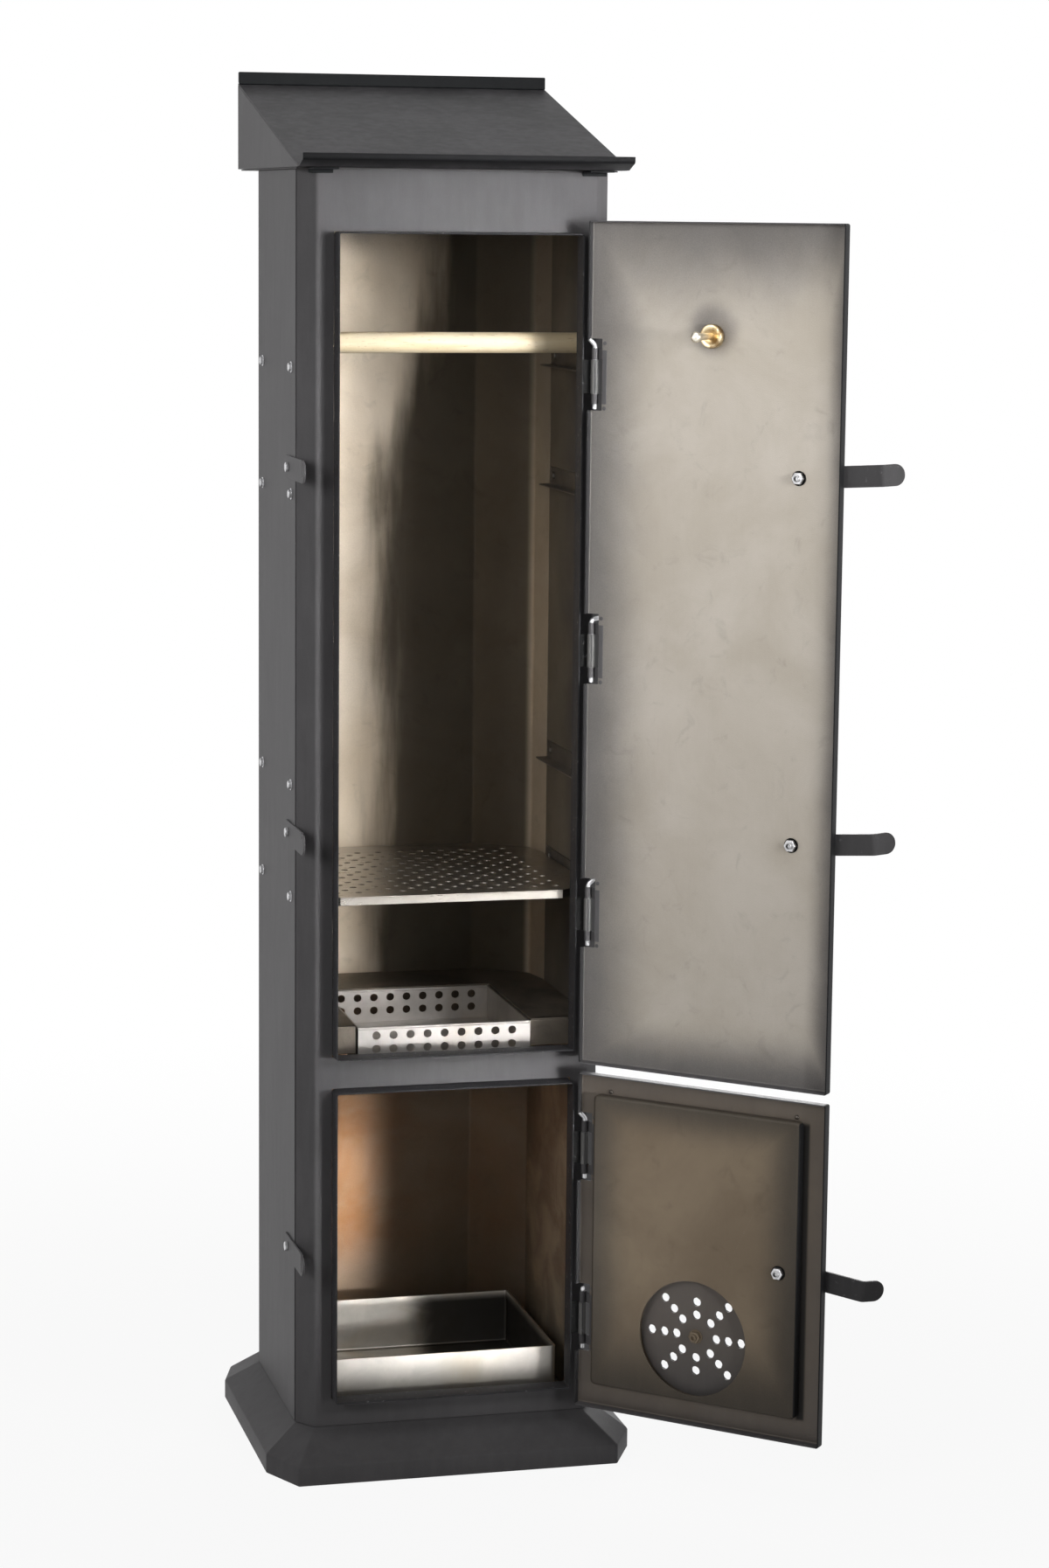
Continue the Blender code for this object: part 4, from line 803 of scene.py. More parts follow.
def smoked_sheet(name, tone):
    """Sheet browned by heat and smoke, darker in patches and lighter where it is rubbed."""
    f = Finish(name)
    place = f.object_place()
    cloud = f.noise(place, 13.0, 5.0, 0.62, 0.6)
    lines = f.noise(f.scaled(place, (8.0, 1.0, 8.0)), 60.0, 4.0, 0.7)
    crust = f.noise(place, 320.0, 3.0, 0.6)
    colour = f.mix(f.smooth(cloud, 0.34, 0.68), toned(tone, 0.45), tint(*tone))
    colour = f.mix(0.25 * lines, colour, toned(tone, 1.7))
    rough = 0.38 + 0.2 * cloud + 0.12 * crust
    normal = f.bump(crust, 0.12, 0.4 * MM)
    return f.surface(base_color=colour, roughness=rough, metallic=0.7, normal=normal)


def plated(name, tone, wear):
    """Plated steel: small bright crystals, dulled in patches, with dark grime in the low places,
    and black where the mesh is marked."""
    f = Finish(name)
    place = f.object_place()
    crystal = f.noise(place, 480.0, 2.0, 0.5)
    grime = f.noise(place, 120.0, 4.0, 0.6)
    colour = f.mix(f.smooth(crystal, 0.35, 0.65), tint(*tone), toned(tone, 1.25))
    colour = f.mix(f.smooth(grime, 0.52, 0.75, 0.0, wear), colour, GRIME)
    colour = f.mix(f.mark("bare"), colour, DEEP_BLACK)
    rough = 0.22 + 0.16 * crystal + 0.16 * grime
    normal = f.bump(grime, 0.1, 0.3 * MM)
    return f.surface(base_color=colour, roughness=rough, metallic=0.95, normal=normal)


def worn_paint(name, tone, wear):
    """Painted steel rubbed bright here and there; a mark of 1 on the mesh turns it grey, and -1
    black."""
    f = Finish(name)
    place = f.object_place()
    colour, rough, normal = paint_parts(f, place, tone)
    rubbed = f.noise(place, 150.0, 4.0, 0.65)
    mark = f.mark("bare")
    colour = f.mix(f.smooth(mark, 0.0, 1.0), colour, GREY_STEEL)
    colour = f.mix(f.smooth(mark, 0.0, -1.0), colour, DEEP_BLACK)
    bare = f.smooth(rubbed, 0.60, 0.74, 0.0, wear)
    return f.surface(
        base_color=f.mix(bare, colour, WORN_STEEL), roughness=rough - 0.1 * bare,
        metallic=0.9 * bare, normal=normal, specular_ior_level=PAINT_GLOSS,
    )


def turned_brass(name):
    """Brass with a fine turned grain and a faint tarnish; a mark of 1 on the mesh browns it, and -1
    makes it pale."""
    f = Finish(name)
    place = f.object_place()
    grain = f.noise(place, 900.0, 2.0, 0.5)
    tarnish = f.noise(place, 90.0, 4.0, 0.6)
    clear, dark = tint(0.86, 0.72, 0.47), tint(0.30, 0.20, 0.10)
    colour = f.mix(f.smooth(tarnish, 0.42, 0.62), clear, dark)
    mark = f.mark("bare")
    colour = f.mix(f.smooth(mark, 0.0, 1.0, 0.0, 0.7), colour, tint(0.34, 0.21, 0.08))
    colour = f.mix(f.smooth(mark, 0.0, -1.0, 0.0, 0.85), colour, tint(0.97, 0.92, 0.80))
    return f.surface(base_color=colour, roughness=0.2 + 0.15 * grain + 0.1 * tarnish, metallic=1.0)


def pale_wood(name):
    """Bare turned wood: long fibres along X, faint growth bands and small flecks."""
    f = Finish(name)
    place = f.object_place()
    fibre = f.noise(f.scaled(place, (1.0, 14.0, 14.0)), 60.0, 5.0, 0.65)
    band = f.noise(f.scaled(place, (0.6, 6.0, 6.0)), 16.0, 3.0, 0.5, 0.6)
    fleck = f.smooth(f.noise(f.scaled(place, (0.5, 3.0, 3.0)), 240.0, 2.0, 0.5), 0.62, 0.72)
    colour = f.mix(f.smooth(band, 0.35, 0.66), tint(0.90, 0.79, 0.58), tint(0.82, 0.67, 0.43))
    colour = f.mix(0.30 * fibre, colour, tint(0.70, 0.52, 0.28))
    colour = f.mix(0.5 * fleck, colour, tint(0.45, 0.28, 0.12))
    normal = f.bump(fibre, 0.25, 0.5 * MM)
    return f.surface(base_color=colour, roughness=0.5 + 0.2 * fibre, normal=normal)


def printed_card(name):
    """Pale enamelled card with a faint mottling."""
    f = Finish(name)
    mottle = f.noise(f.object_place(), 260.0, 3.0, 0.6)
    colour = f.mix(mottle, tint(0.86, 0.85, 0.81), tint(0.78, 0.77, 0.72))
    normal = f.bump(mottle, 0.05, 0.1 * MM)
    return f.surface(base_color=colour, roughness=0.42 + 0.1 * mottle, normal=normal)


def clear_glass(name):
    """Clear pane with a trace of dust."""
    f = Finish(name)
    dust = f.smooth(f.noise(f.object_place(), 300.0, 4.0, 0.7), 0.5, 0.8, 0.03, 0.16)
    return f.surface(
        base_color=tint(0.95, 0.97, 0.97), roughness=dust, transmission_weight=1.0,
        specular_ior_level=0.5,
    )


PAINT = stove_paint("stove_paint", PAINT_TONE)
ROOF_PAINT = stove_paint("roof_paint", (0.056, 0.054, 0.057), 0.45)
TRIM = stove_paint("black_trim_paint", (0.012, 0.013, 0.014))
LATCH_PAINT = worn_paint("latch_paint", (0.075, 0.073, 0.075), 0.15)
# A darker copy of the stove paint for the doorway collars: painted shade in the jambs
SHADED_COLLAR_PAINT = worn_paint("shaded_collar_paint", (0.045, 0.044, 0.047), 0.3)
ZINC = plated("zinc_plate", (0.54, 0.54, 0.55), 0.7)
BLACKENED = plated("blackened_steel", (0.085, 0.075, 0.066), 0.7)
ALONG_X = (1.0, 14.0, 14.0)
ALONG_Y = (14.0, 1.0, 14.0)
STEEL = bright_sheet("stainless_sheet", (0.49, 0.465, 0.44), ALONG_X)
SHELF_STEEL = bright_sheet("shelf_steel", (0.42, 0.39, 0.35), ALONG_X, -0.10)
# Stainless darkened to the painted shade of the walls, so the rails sink into it
SHADED_RAIL_STEEL = bright_sheet("shaded_rail_steel", (0.21, 0.195, 0.178), ALONG_Y, 0.06)
# The ash pan's inside takes a painted shadow, darker to the right
PAN_STEEL = bright_sheet("pan_steel", (0.50, 0.475, 0.435), ALONG_X, 0.0, 0.85)
SMOKED = smoked_sheet("smoked_sheet", (0.20, 0.172, 0.140))
LINER = smoked_sheet("liner_sheet", (0.40, 0.34, 0.26))
BRASS = turned_brass("turned_brass")
WOOD = pale_wood("pale_wood")
DIAL = printed_card("dial_card")
GLASS = clear_glass("gauge_glass")
CHAMBER = sprayed(
    "chamber_wall", chamber_mask, Finish.object_place, WALL_BARE, firebox_heat, chamber_shade,
    painted_shade=(0.024, 0.021, 0.018), metal=0.45,
)
UPPER_DOOR_LOOK = sprayed(
    "upper_door_finish",
    door_mask(
        (DOOR_FREE_X, UPPER_DOOR[0]), (DOOR_HINGE_X, UPPER_DOOR[1]),
        (0.030, 0.095, 0.062, 0.13), 0.33, spot=(FITTING_X, GAUGE_Z + 5.0 * MM),
    ),
    drawn_place, DOOR_BARE, shade_of=flange_shade,
)
LOWER_DOOR_LOOK = sprayed(
    "lower_door_finish",
    door_mask(
        (DOOR_FREE_X, LOWER_DOOR[0]), (DOOR_HINGE_X, LOWER_DOOR[1]),
        (0.10, 0.10, 0.10, 0.10), 0.50,
    ),
    drawn_place, SCORCHED_BARE, shade_of=lower_door_shade,
)
SHIELD_LOOK = sprayed(
    "shield_finish",
    door_mask(SHIELD_LOW, SHIELD_HIGH, (0.06, 0.06, 0.10, 0.05), 0.30, only_inside=False),
    drawn_place, SCORCHED_BARE, shade_of=shield_shade, tone=(0.075, 0.068, 0.060),
)


# Plinth and cabinet

PLINTH_RADIUS = 3.0 * MM


def plinth_ring(rise, inset, height):
    """The plinth's outline part of the way from foot to neck, moved inward, at a height."""
    foot, neck = mirrored(FOOT_HALF), mirrored(BODY_HALF)
    return spread(outline(foot + (neck - foot) * rise, inset, PLINTH_RADIUS, 4), "Z", height)


def build_plinth():
    """Rings carried up the band, over the flare, round the rolled neck and back down inside."""
    rings = [
        (0.0, 0.5 * MM, 0.0), (0.0, 0.0, 0.6 * MM), (0.0, 0.0, PLINTH_BAND - 1.5 * MM),
        (0.012, 0.0, PLINTH_BAND - 0.4 * MM), (0.035, 0.0, PLINTH_BAND + 0.9 * MM),
        (0.975, 0.0, PLINTH_TOP - 0.9 * MM), (1.0, 0.6 * MM, PLINTH_TOP - 0.15 * MM),
        (1.0, 1.4 * MM, PLINTH_TOP), (1.0, PLINTH_LEDGE, PLINTH_TOP),
        (1.0, PLINTH_LEDGE, PLINTH_TOP - SHEET), (1.0, SHEET, PLINTH_TOP - SHEET),
        (0.0, SHEET, PLINTH_BAND), (0.0, SHEET, 0.0),
    ]
    skirt = loft([plinth_ring(*place) for place in rings], closed=True)
    piece("plinth", [skirt], "cabinet", PAINT, ["plinth_skirt"])


def panel(line, stations, keep=None):
    """A folded wall: a plan line and its copy one sheet to the left, carried up through the
    stations; the right-hand face is painted and the left-hand face is bare."""
    stations = np.asarray(stations)[:, None]
    faces = [
        spread(np.broadcast_to(side, (len(stations), *side.shape)), "Z", stations)
        for side in (line, offset(line, SHEET))
    ]
    return sheet(*faces, keep), np.repeat([0.0, 1.0], len(line) * len(stations))


FRONT_FOLD = 5.0 * MM
BACK_FOLD = 9.0 * MM
SIDE_SPAN = (-124.0 * MM, 110.6 * MM)
SIDE_OUT = HALF + 0.9 * MM


def build_walls():
    """Front with two doorways, back with folded corners, and flat sides one lap proud of them."""
    corner, side = BODY_HALF[:2]
    line = bent([side * (-1, 1), corner * (-1, 1), corner, side], FRONT_FOLD)
    half = len(line) // 2
    door = COLLAR_HALF + GAP
    line = np.concatenate([line[:half], [(-door, FRONT_Y), (door, FRONT_Y)], line[half:]])
    stations = [BODY_LOW, LOWER_DOORWAY[0] - GAP, LOWER_DOORWAY[1] + GAP]
    stations += [UPPER_DOORWAY[0] - GAP, UPPER_DOORWAY[1] + GAP, BODY_TOP]
    keep = np.ones((len(stations) - 1, len(line) - 1), bool)
    keep[1::2, half] = False
    walls = {"front": panel(line, stations, keep)}
    right = BODY_HALF[2:]
    line = bent(np.concatenate([right, right[::-1] * (-1, 1)]), BACK_FOLD)
    walls["back"] = panel(line, [BODY_LOW, BODY_TOP])
    for name, (part, bare) in walls.items():
        piece(
            name + "_sheet", [part], "cabinet", CHAMBER, [name + "_panel"],
            edge=0.4 * MM, marks=[bare],
        )
    flat = np.array([[(y, z) for y in SIDE_SPAN] for z in (BODY_LOW, BODY_TOP)])
    for name, hand in HANDS:
        faces = [spread(flat, "X", hand * x) for x in (SIDE_OUT, INNER)]
        piece(
            name + "_side_sheet", [sheet(*faces)], "cabinet", CHAMBER,
            [name + "_side_panel"], edge=0.5 * MM, marks=[np.repeat([0.0, 1.0], 4)],
        )


EYE_TURN = 304
EYE_POINTS = 25
EYE_SEAM = 17
LEAF_END = 4


def rolled(start, radius, wall, low, high, hand=1):
    """A sheet leaf rolled round the hinge axis: a plan line that runs to the axis and then turns
    through most of a circle, thickened towards the axis and carried up. A hand of 1 rolls clockwise
    from the cabinet's side of the axis, and -1 the other way from outside it."""
    turn = np.radians(np.linspace(0, EYE_TURN, EYE_POINTS))
    eye = HINGE + radius * pairs(np.sin(turn), hand * np.cos(turn))
    line = np.concatenate([start, eye])
    return carried(np.concatenate([line, offset(line, -hand * wall)[::-1]]), "Z", low, high)


def rolled_marks(part):
    """Marks for a rolled leaf: 1 on the eye, less on the flat end and down the seam in front; the
    flat end's mark turns it black, a painted shade beside the eye.
    """
    marks = np.ones((2, len(part[0]) // 2))
    marks[:, :LEAF_END] = marks[:, -LEAF_END:] = -1.0
    marks[:, EYE_SEAM] = 0.0
    return marks.ravel()


COLLAR_RADIUS = 3.5 * MM
BARREL_LEAF = np.array([(COLLAR_HALF / MM - 1.0, -173.4), (147.5, -173.4)]) * MM
BARREL_RADIUS = 4.6 * MM
BARREL_WALL = 1.7 * MM


def build_collars():
    """Doorway frames with a rounded rim, and the cabinet's hinge barrels on their leaves."""
    turn = np.linspace(0, math.pi, 7)
    root = [FRONT_Y + SHEET]
    insets = np.concatenate([[0.0], SHEET / 2 * (1 - np.cos(turn)), [SHEET]])
    depths = np.concatenate([root, COLLAR_RIM_Y + SHEET / 2 * (1 - np.sin(turn)), root])
    half = BARREL_LENGTH / 2
    doorways = (("upper", UPPER_DOORWAY, UPPER_HINGES), ("lower", LOWER_DOORWAY, LOWER_HINGES))
    for name, (low, high), hinges in doorways:
        corners = rectangle(-COLLAR_HALF, low, COLLAR_HALF, high)
        loops = [spread(outline(corners, i, COLLAR_RADIUS), "Y", y) for i, y in zip(insets, depths)]
        collar = loft(loops, closed=True)
        barrels = [
            rolled(BARREL_LEAF, BARREL_RADIUS, BARREL_WALL, z - half, z + half) for z in hinges
        ]
        marks = all_marked([collar]) + [rolled_marks(barrel) for barrel in barrels]
        piece(
            name + "_collar", [collar] + barrels, "cabinet", SHADED_COLLAR_PAINT,
            [name + "_doorway_collar"], edge=0.3 * MM, marks=marks,
        )


# Roof

ROOF_HALF = 188.0 * MM
ROOF_BACK = 203.0 * MM
ROOF_EAVE = -186.0 * MM
ROOF_LOW = 1499.0 * MM
ROOF_RISE = 99.0 * MM
ROOF_PITCH = ROOF_RISE / (ROOF_BACK - ROOF_EAVE)
ROOF_FOLD = 3.5 * MM
GUTTER_Y = ROOF_EAVE - 24.5 * MM
GUTTER_RISE = 8.0 * MM
GUTTER_TOP = 15.0 * MM
CHEEK_NOSE = ROOF_EAVE + 8.0 * MM
CHEEK_HEM = 12.0 * MM
RIDGE_DEPTH = 8.0 * MM
RIDGE_HEIGHT = 13.0 * MM
CLIP_X = 157.0 * MM
CLIP_HALF = 14.0 * MM
CLIP_DROP = 6.3 * MM


def roof_under(y):
    """Height of the roof sheet's underside."""
    return ROOF_LOW + (y - ROOF_EAVE) * ROOF_PITCH


def build_roof():
    """Folded roof sheet with its gutter, cheeks with hems, ridge strip and eave clips."""
    ridge_z = roof_under(ROOF_BACK)
    line = [
        (ROOF_BACK, ridge_z), (ROOF_EAVE, ROOF_LOW),
        (GUTTER_Y, ROOF_LOW + GUTTER_RISE), (GUTTER_Y, ROOF_LOW + GUTTER_TOP),
    ]
    section = folded(line, -SHEET, ROOF_FOLD)
    roof = carried(section, "X", -ROOF_HALF, ROOF_HALF)
    under = np.arange(len(section)) < len(section) // 2
    black = (under & (section[:, 0] < ROOF_EAVE - SHEET)).astype(float)
    piece(
        "roof_sheet", [roof], "cabinet", ROOF_PAINT, ["roof_slope"],
        edge=0.5 * MM, marks=[np.tile(black, 2)],
    )

    cheek = [
        (CHEEK_NOSE, ROOF_LOW), (ROOF_BACK, ROOF_LOW),
        (ROOF_BACK, ridge_z - GAP), (CHEEK_NOSE, roof_under(CHEEK_NOSE) - GAP),
    ]
    for name, hand in HANDS:
        faces = handed(hand, ROOF_HALF - SHEET, ROOF_HALF)
        left, right = handed(hand, ROOF_HALF - SHEET / 2, ROOF_HALF - SHEET - CHEEK_HEM)
        hem = rectangle(left, FRONT_Y, right, ROOF_BACK - SHEET - GAP)
        parts = [slab(cheek, "X", *faces, edge=0.5 * MM)]
        parts.append(slab(hem, "Z", ROOF_LOW, ROOF_LOW + SHEET))
        piece(name + "_cheek", parts, "cabinet", PAINT, [name + "_roof_cheek"])

    rise = SHEET * math.hypot(1, ROOF_PITCH) + GAP
    front, top = ROOF_BACK - RIDGE_DEPTH, ridge_z + rise + RIDGE_HEIGHT
    ridge = [(front, roof_under(front) + rise), (ROOF_BACK, ridge_z + rise)]
    ridge += [(ROOF_BACK, top), (front, top)]
    trim = slab(ridge, "X", GAP - ROOF_HALF, ROOF_HALF - GAP, radius=1.2 * MM, edge=0.8 * MM)
    piece("ridge_trim", [trim], "cabinet", TRIM, ["ridge_strip"])

    face, top = FRONT_Y - GAP, ROOF_LOW - GAP
    line = [(face, ROOF_LOW - CLIP_DROP), (face, top), (ROOF_EAVE, top)]
    section = folded(line, SHEET, ROOF_FOLD)
    for name, hand in HANDS:
        clip = carried(section, "X", hand * CLIP_X - CLIP_HALF, hand * CLIP_X + CLIP_HALF)
        piece(
            name + "_eave_clip", [clip], "cabinet", TRIM, [name + "_roof_bracket"],
            edge=0.4 * MM,
        )


# Hinged doors

DOOR_LAP = 4.0 * MM
NOTCH_LIP = 1.7 * MM
OUTER_FOLD = 3.0 * MM
INNER_FOLD = 1.5 * MM
NO_FOLD = 0.04 * MM
FOLD_BRACE = 0.6 * MM
DOOR_STEP = 12.0 * MM
HOLE_SIDES = 64


def door_corners(low, high, hinges):
    """The door's corners, anticlockwise from its free foot: x, z, flange height and radius in
    millimetres, and the highest and lowest place that a ring may take there. A ring stays below a
    notch's foot and above its head along the hinge edge."""
    lap, lip = DOOR_HINGE_X - DOOR_LAP, DOOR_HINGE_X - NOTCH_LIP
    end = [(DOOR_FREE_X, DOOR_FLANGE, 2.5), (lap, DOOR_FLANGE, 0.3)]
    end += [(DOOR_HINGE_X, HINGE_FLANGE, 2.0)]
    notch = [(DOOR_HINGE_X, HINGE_FLANGE, 0.3), (lip, 0.0, 0.3), (NOTCH_X, 0.0, 0.8)]
    runs = [(low, end)]
    for z in np.sort(hinges):
        runs += [(z - NOTCH_FOOT, notch), (z + NOTCH_HEAD, notch[::-1])]
    runs.append((high, end[::-1]))
    corners = np.array([(x, z, flange, r) for z, run in runs for x, flange, r in run])
    highest, lowest = np.full(len(corners), high), np.full(len(corners), low)
    feet, heads = slice(3, -3, 6), slice(8, -3, 6)
    highest[feet] = corners[feet, 1]
    lowest[heads] = corners[heads, 1]
    return corners, highest, lowest


def door_pan(span, hinges, hole=None):
    """A tray-shaped door: the rings of its outline with hinge notches run from the middle of the
    outside, round the fold, up the flange, over its rim and back across the inside. Each corner has
    its own flange height, fold radius and wall; at a notch the sheet simply ends. When a round hole
    is given, each face is two many-sided halves that meet beside it."""
    corners, *limits = door_corners(*span, hinges)
    steps = 5
    flange, *limits = [np.repeat(values, steps + 2) for values in (corners[:, 2], *limits)]
    folds = flange > 0
    tall = np.where(folds, flange, THIN + 0.1 * MM)
    sizes = [np.where(folds, size, NO_FOLD) for size in (OUTER_FOLD, INNER_FOLD, THIN)]
    base = outline(corners[:, :2], 0.0, corners[:, 3] * MM, steps)
    base, read = dense(base, (tall, *sizes, *limits), DOOR_STEP)
    tall, outer_fold, inner_fold, wall, highest, lowest = read

    def at(inset, y):
        inset = np.broadcast_to(inset, len(base))
        x, z = offset(base, inset[:, None], True).T
        x = np.clip(x, DOOR_FREE_X + inset, DOOR_HINGE_X - inset)
        return spread(pairs(x, np.clip(z, lowest + inset, highest - inset)), "Y", y)

    outside = [at(outer_fold + FOLD_BRACE, DOOR_OUT_Y)]
    outside += [at(inset, DOOR_OUT_Y + drop) for inset, drop in quarter(outer_fold)[::-1]]
    outside.append(at(0.0, DOOR_OUT_Y + tall))
    inside = [at(wall, DOOR_OUT_Y + tall)]
    inside += [at(wall + inset, DOOR_IN_Y + drop) for inset, drop in quarter(inner_fold)]
    inside.append(at(wall + inner_fold + FOLD_BRACE, DOOR_IN_Y))
    parts = [loft(outside + inside, ends=hole is None)]
    painted, clean = len(outside) + 2, len(inside) - 2
    bare = [np.repeat([0.0, 1.0], [painted * len(base), clean * len(base)])]
    if hole is None:
        return parts, bare
    x, z, radius = hole
    circle = (x, z) + ring(radius, HOLE_SIDES)
    first = np.argmin(np.linalg.norm(base - (NOTCH_X, z), axis=1))
    last = np.argmin(np.linalg.norm(base - (DOOR_FREE_X, z), axis=1))
    over = circle[HOLE_SIDES // 2::-1]
    below = circle[np.arange(HOLE_SIDES, HOLE_SIDES // 2 - 1, -1) % HOLE_SIDES]
    back = np.arange(last, first + len(base) + 1) % len(base)
    for loop, mark in ((outside[0], 0.0), (inside[-1], 1.0)):
        flat, y = loop[:, [0, 2]], loop[0, 1]
        upper = np.concatenate([flat[first:last + 1], over])
        lower = np.concatenate([flat[back], below])
        halves = [many_sided(half, "Y", y) for half in (upper, lower)]
        parts += halves
        bare += all_marked(halves, mark)
    return parts, bare


KNUCKLE_LEAF = np.array([(132.0, -178.6), (144.0, -178.6), (148.0, -181.6)]) * MM
KNUCKLE_RADIUS = 3.6 * MM
KNUCKLE_WALL = 1.0 * MM
STRIP_X = (NOTCH_X - 5.8 * MM, NOTCH_X - 0.4 * MM)
STRIP_Y = (DOOR_IN_Y - 0.2 * MM, DOOR_IN_Y + 0.5 * MM)
STRIP_BEYOND = 11.0 * MM
WELD_X = NOTCH_X - 3.2 * MM
WELD_RISES = (-NOTCH_FOOT + 2.5 * MM, NOTCH_HEAD - 5.0 * MM)
WELD_SPOT = (2.3 * MM, 0.6 * MM)


def door_knuckles(hinges):
    """The door's rolled leaves above and below each barrel, welded outside, with the flattened
    strip and the two weld spots that each leaves inside."""
    reach = BARREL_LENGTH / 2 + GAP
    spans = [(z + reach, z + reach + KNUCKLE_ABOVE) for z in hinges]
    spans += [(z - reach - KNUCKLE_BELOW, z - reach) for z in hinges]
    parts = [rolled(KNUCKLE_LEAF, KNUCKLE_RADIUS, KNUCKLE_WALL, *span, -1) for span in spans]
    half = reach + STRIP_BEYOND
    for z in hinges:
        strip = rectangle(STRIP_X[0], z - half, STRIP_X[1], z + half)
        parts.append(slab(strip, "Y", *STRIP_Y, radius=0.8 * MM, edge=0.3 * MM))
        spots = [(WELD_X, DOOR_IN_Y, z + rise) for rise in WELD_RISES]
        parts += [dome(*spot, *WELD_SPOT, INWARD, 10) for spot in spots]
    return parts


PIN_CHAMFER = 0.7 * MM
PIN_END = 0.68 * PIN_RADIUS


def hinge_pin(height, turn, lean):
    """A rod with a bent end: straight up, then an arc whose lean grows evenly, so that its sideways
    reach is (1 - cos lean) and its rise sin lean, each over the lean's rate, then straight on."""
    low = height - BARREL_LENGTH / 2 - KNUCKLE_BELOW - PIN_STUB
    high = height + BARREL_LENGTH / 2 + KNUCKLE_ABOVE + GAP
    turn, lean = math.radians(turn), math.radians(lean)
    half = PIN_BEND / 2
    t = np.append(np.linspace(0, lean, 8), lean)
    side = (1 - np.cos(t)) / lean * half
    rise = np.sin(t) / lean * half
    side[-1] += math.sin(lean) * half
    rise[-1] += math.cos(lean) * half
    level = HINGE + side[:, None] * (math.cos(turn), math.sin(turn))
    bend = spread(level, "Z", high + rise)
    foot = np.array([(*HINGE, z) for z in (low, low + PIN_CHAMFER, height)])
    end = bend[-1] + unit(bend[-1] - bend[-2]) * PIN_CHAMFER
    path = np.concatenate([foot, bend, end[None]])
    radii = np.full(len(path), PIN_RADIUS)
    radii[[0, -1]] = PIN_END
    return tube(path, radii, 14, np.array((-math.sin(turn), math.cos(turn), 0.0)))


def build_pins(level, hinges, bends):
    """A door's loose pins, each bent its own way."""
    for number, (height, bend) in enumerate(zip(hinges, bends), start=1):
        piece(
            f"{level}_pin_{number}", [hinge_pin(height, *bend)], level + "_door",
            ZINC, [f"{level}_hinge_pin_{number}"], swing=SWING,
        )


def hex_nut(x, y, z, radius, height, out):
    """A six-sided nut with chamfered corners, facing along out."""
    profile = [(0.86, 0.0), (1.0, 0.1), (1.0, 0.86), (0.88, 1.0)]
    return spun([(r * radius, h * height) for r, h in profile], 6, along(out, x, y, z))


def dome(x, y, z, radius, height, out, sides=18):
    """A domed head: radius cos t and height sin t, on a short straight edge."""
    t = np.radians([88, 70, 50, 30, 8])
    profile = [(radius * math.cos(a), height * (0.25 + 0.75 * math.sin(a))) for a in t]
    return spun(profile + [(radius, 0.2 * height), (radius, 0.0)], sides, along(out, x, y, z))


BOLT_SIDES = 14
BOLT_RADIUS = 4.0 * MM
BOLT_END = 8.5 * MM
BOLT_HEAD = (8.0 * MM, 4.0 * MM)
BOLT_NUT = (7.2 * MM, 5.0 * MM)
WASHER_RADIUS = 8.4 * MM
WASHER_SHEET = 1.1 * MM


def pivot_bolt(x, z, under, seat):
    """A domed bolt outside the door with its shank, and a washer, nut and hollow end inside; its
    marks blacken the washer, and blacken the hollow as painted shade."""
    end = seat - under + BOLT_END
    shank = [(BOLT_RADIUS, 0.0), (BOLT_RADIUS, end - 0.8 * MM), (3.4 * MM, end)]
    shank += [(2.4 * MM, end), (2.2 * MM, end - 3.0 * MM)]
    washer = [(WASHER_RADIUS, 0.0), (WASHER_RADIUS, WASHER_SHEET)]
    parts = [
        dome(x, under, z, *BOLT_HEAD, OUTWARD),
        spun(washer, 24, along(INWARD, x, seat + 0.05 * MM, z)),
        hex_nut(x, seat + WASHER_SHEET, z, *BOLT_NUT, INWARD),
        spun(shank, BOLT_SIDES, along(INWARD, x, under, z)),
    ]
    marks = all_marked(parts)
    marks[1][:] = 1.0
    marks[-1][-2 * BOLT_SIDES:] = 1.0
    return parts, marks


LEVER_FOLD = 5.0 * MM
END_POINTS = 9


def lever_blade(height):
    """A strip whose plan line runs level from the pivot and then turns outward, with half-round
    ends: half width sqrt(d (2 w - d)) at distance d from an end."""
    middle = LEVER_OUT_Y + LEVER_SHEET / 2
    start = np.array((LEVER_X + LEVER_HALF, middle))
    bend = np.array((LEVER_X - LEVER_REACH, middle))
    way = np.array((-math.cos(LEVER_BEND), -math.sin(LEVER_BEND)))
    tip = bend + way * LEVER_TIP
    knee = bent([start, bend, tip], LEVER_FOLD, 9)[1:-1]
    reach = LEVER_HALF * (1 - np.cos(np.linspace(0, math.pi / 2, END_POINTS)))
    head = start - (1.0, 0.0) * reach[:, None]
    tail = tip - way * reach[::-1, None]
    line = np.concatenate([head, knee, tail])
    width = np.full(len(line), LEVER_HALF)
    width[:END_POINTS] = np.sqrt(reach * (2 * LEVER_HALF - reach))
    width[-END_POINTS:] = width[:END_POINTS][::-1]
    heights = height + np.array([-1.0, 1.0])[:, None] * width
    faces = []
    for shift in (LEVER_SHEET / 2, -LEVER_SHEET / 2):
        side = offset(line, shift)
        faces.append(spread(np.broadcast_to(side, (2, *side.shape)), "Z", heights))
    return sheet(*faces)


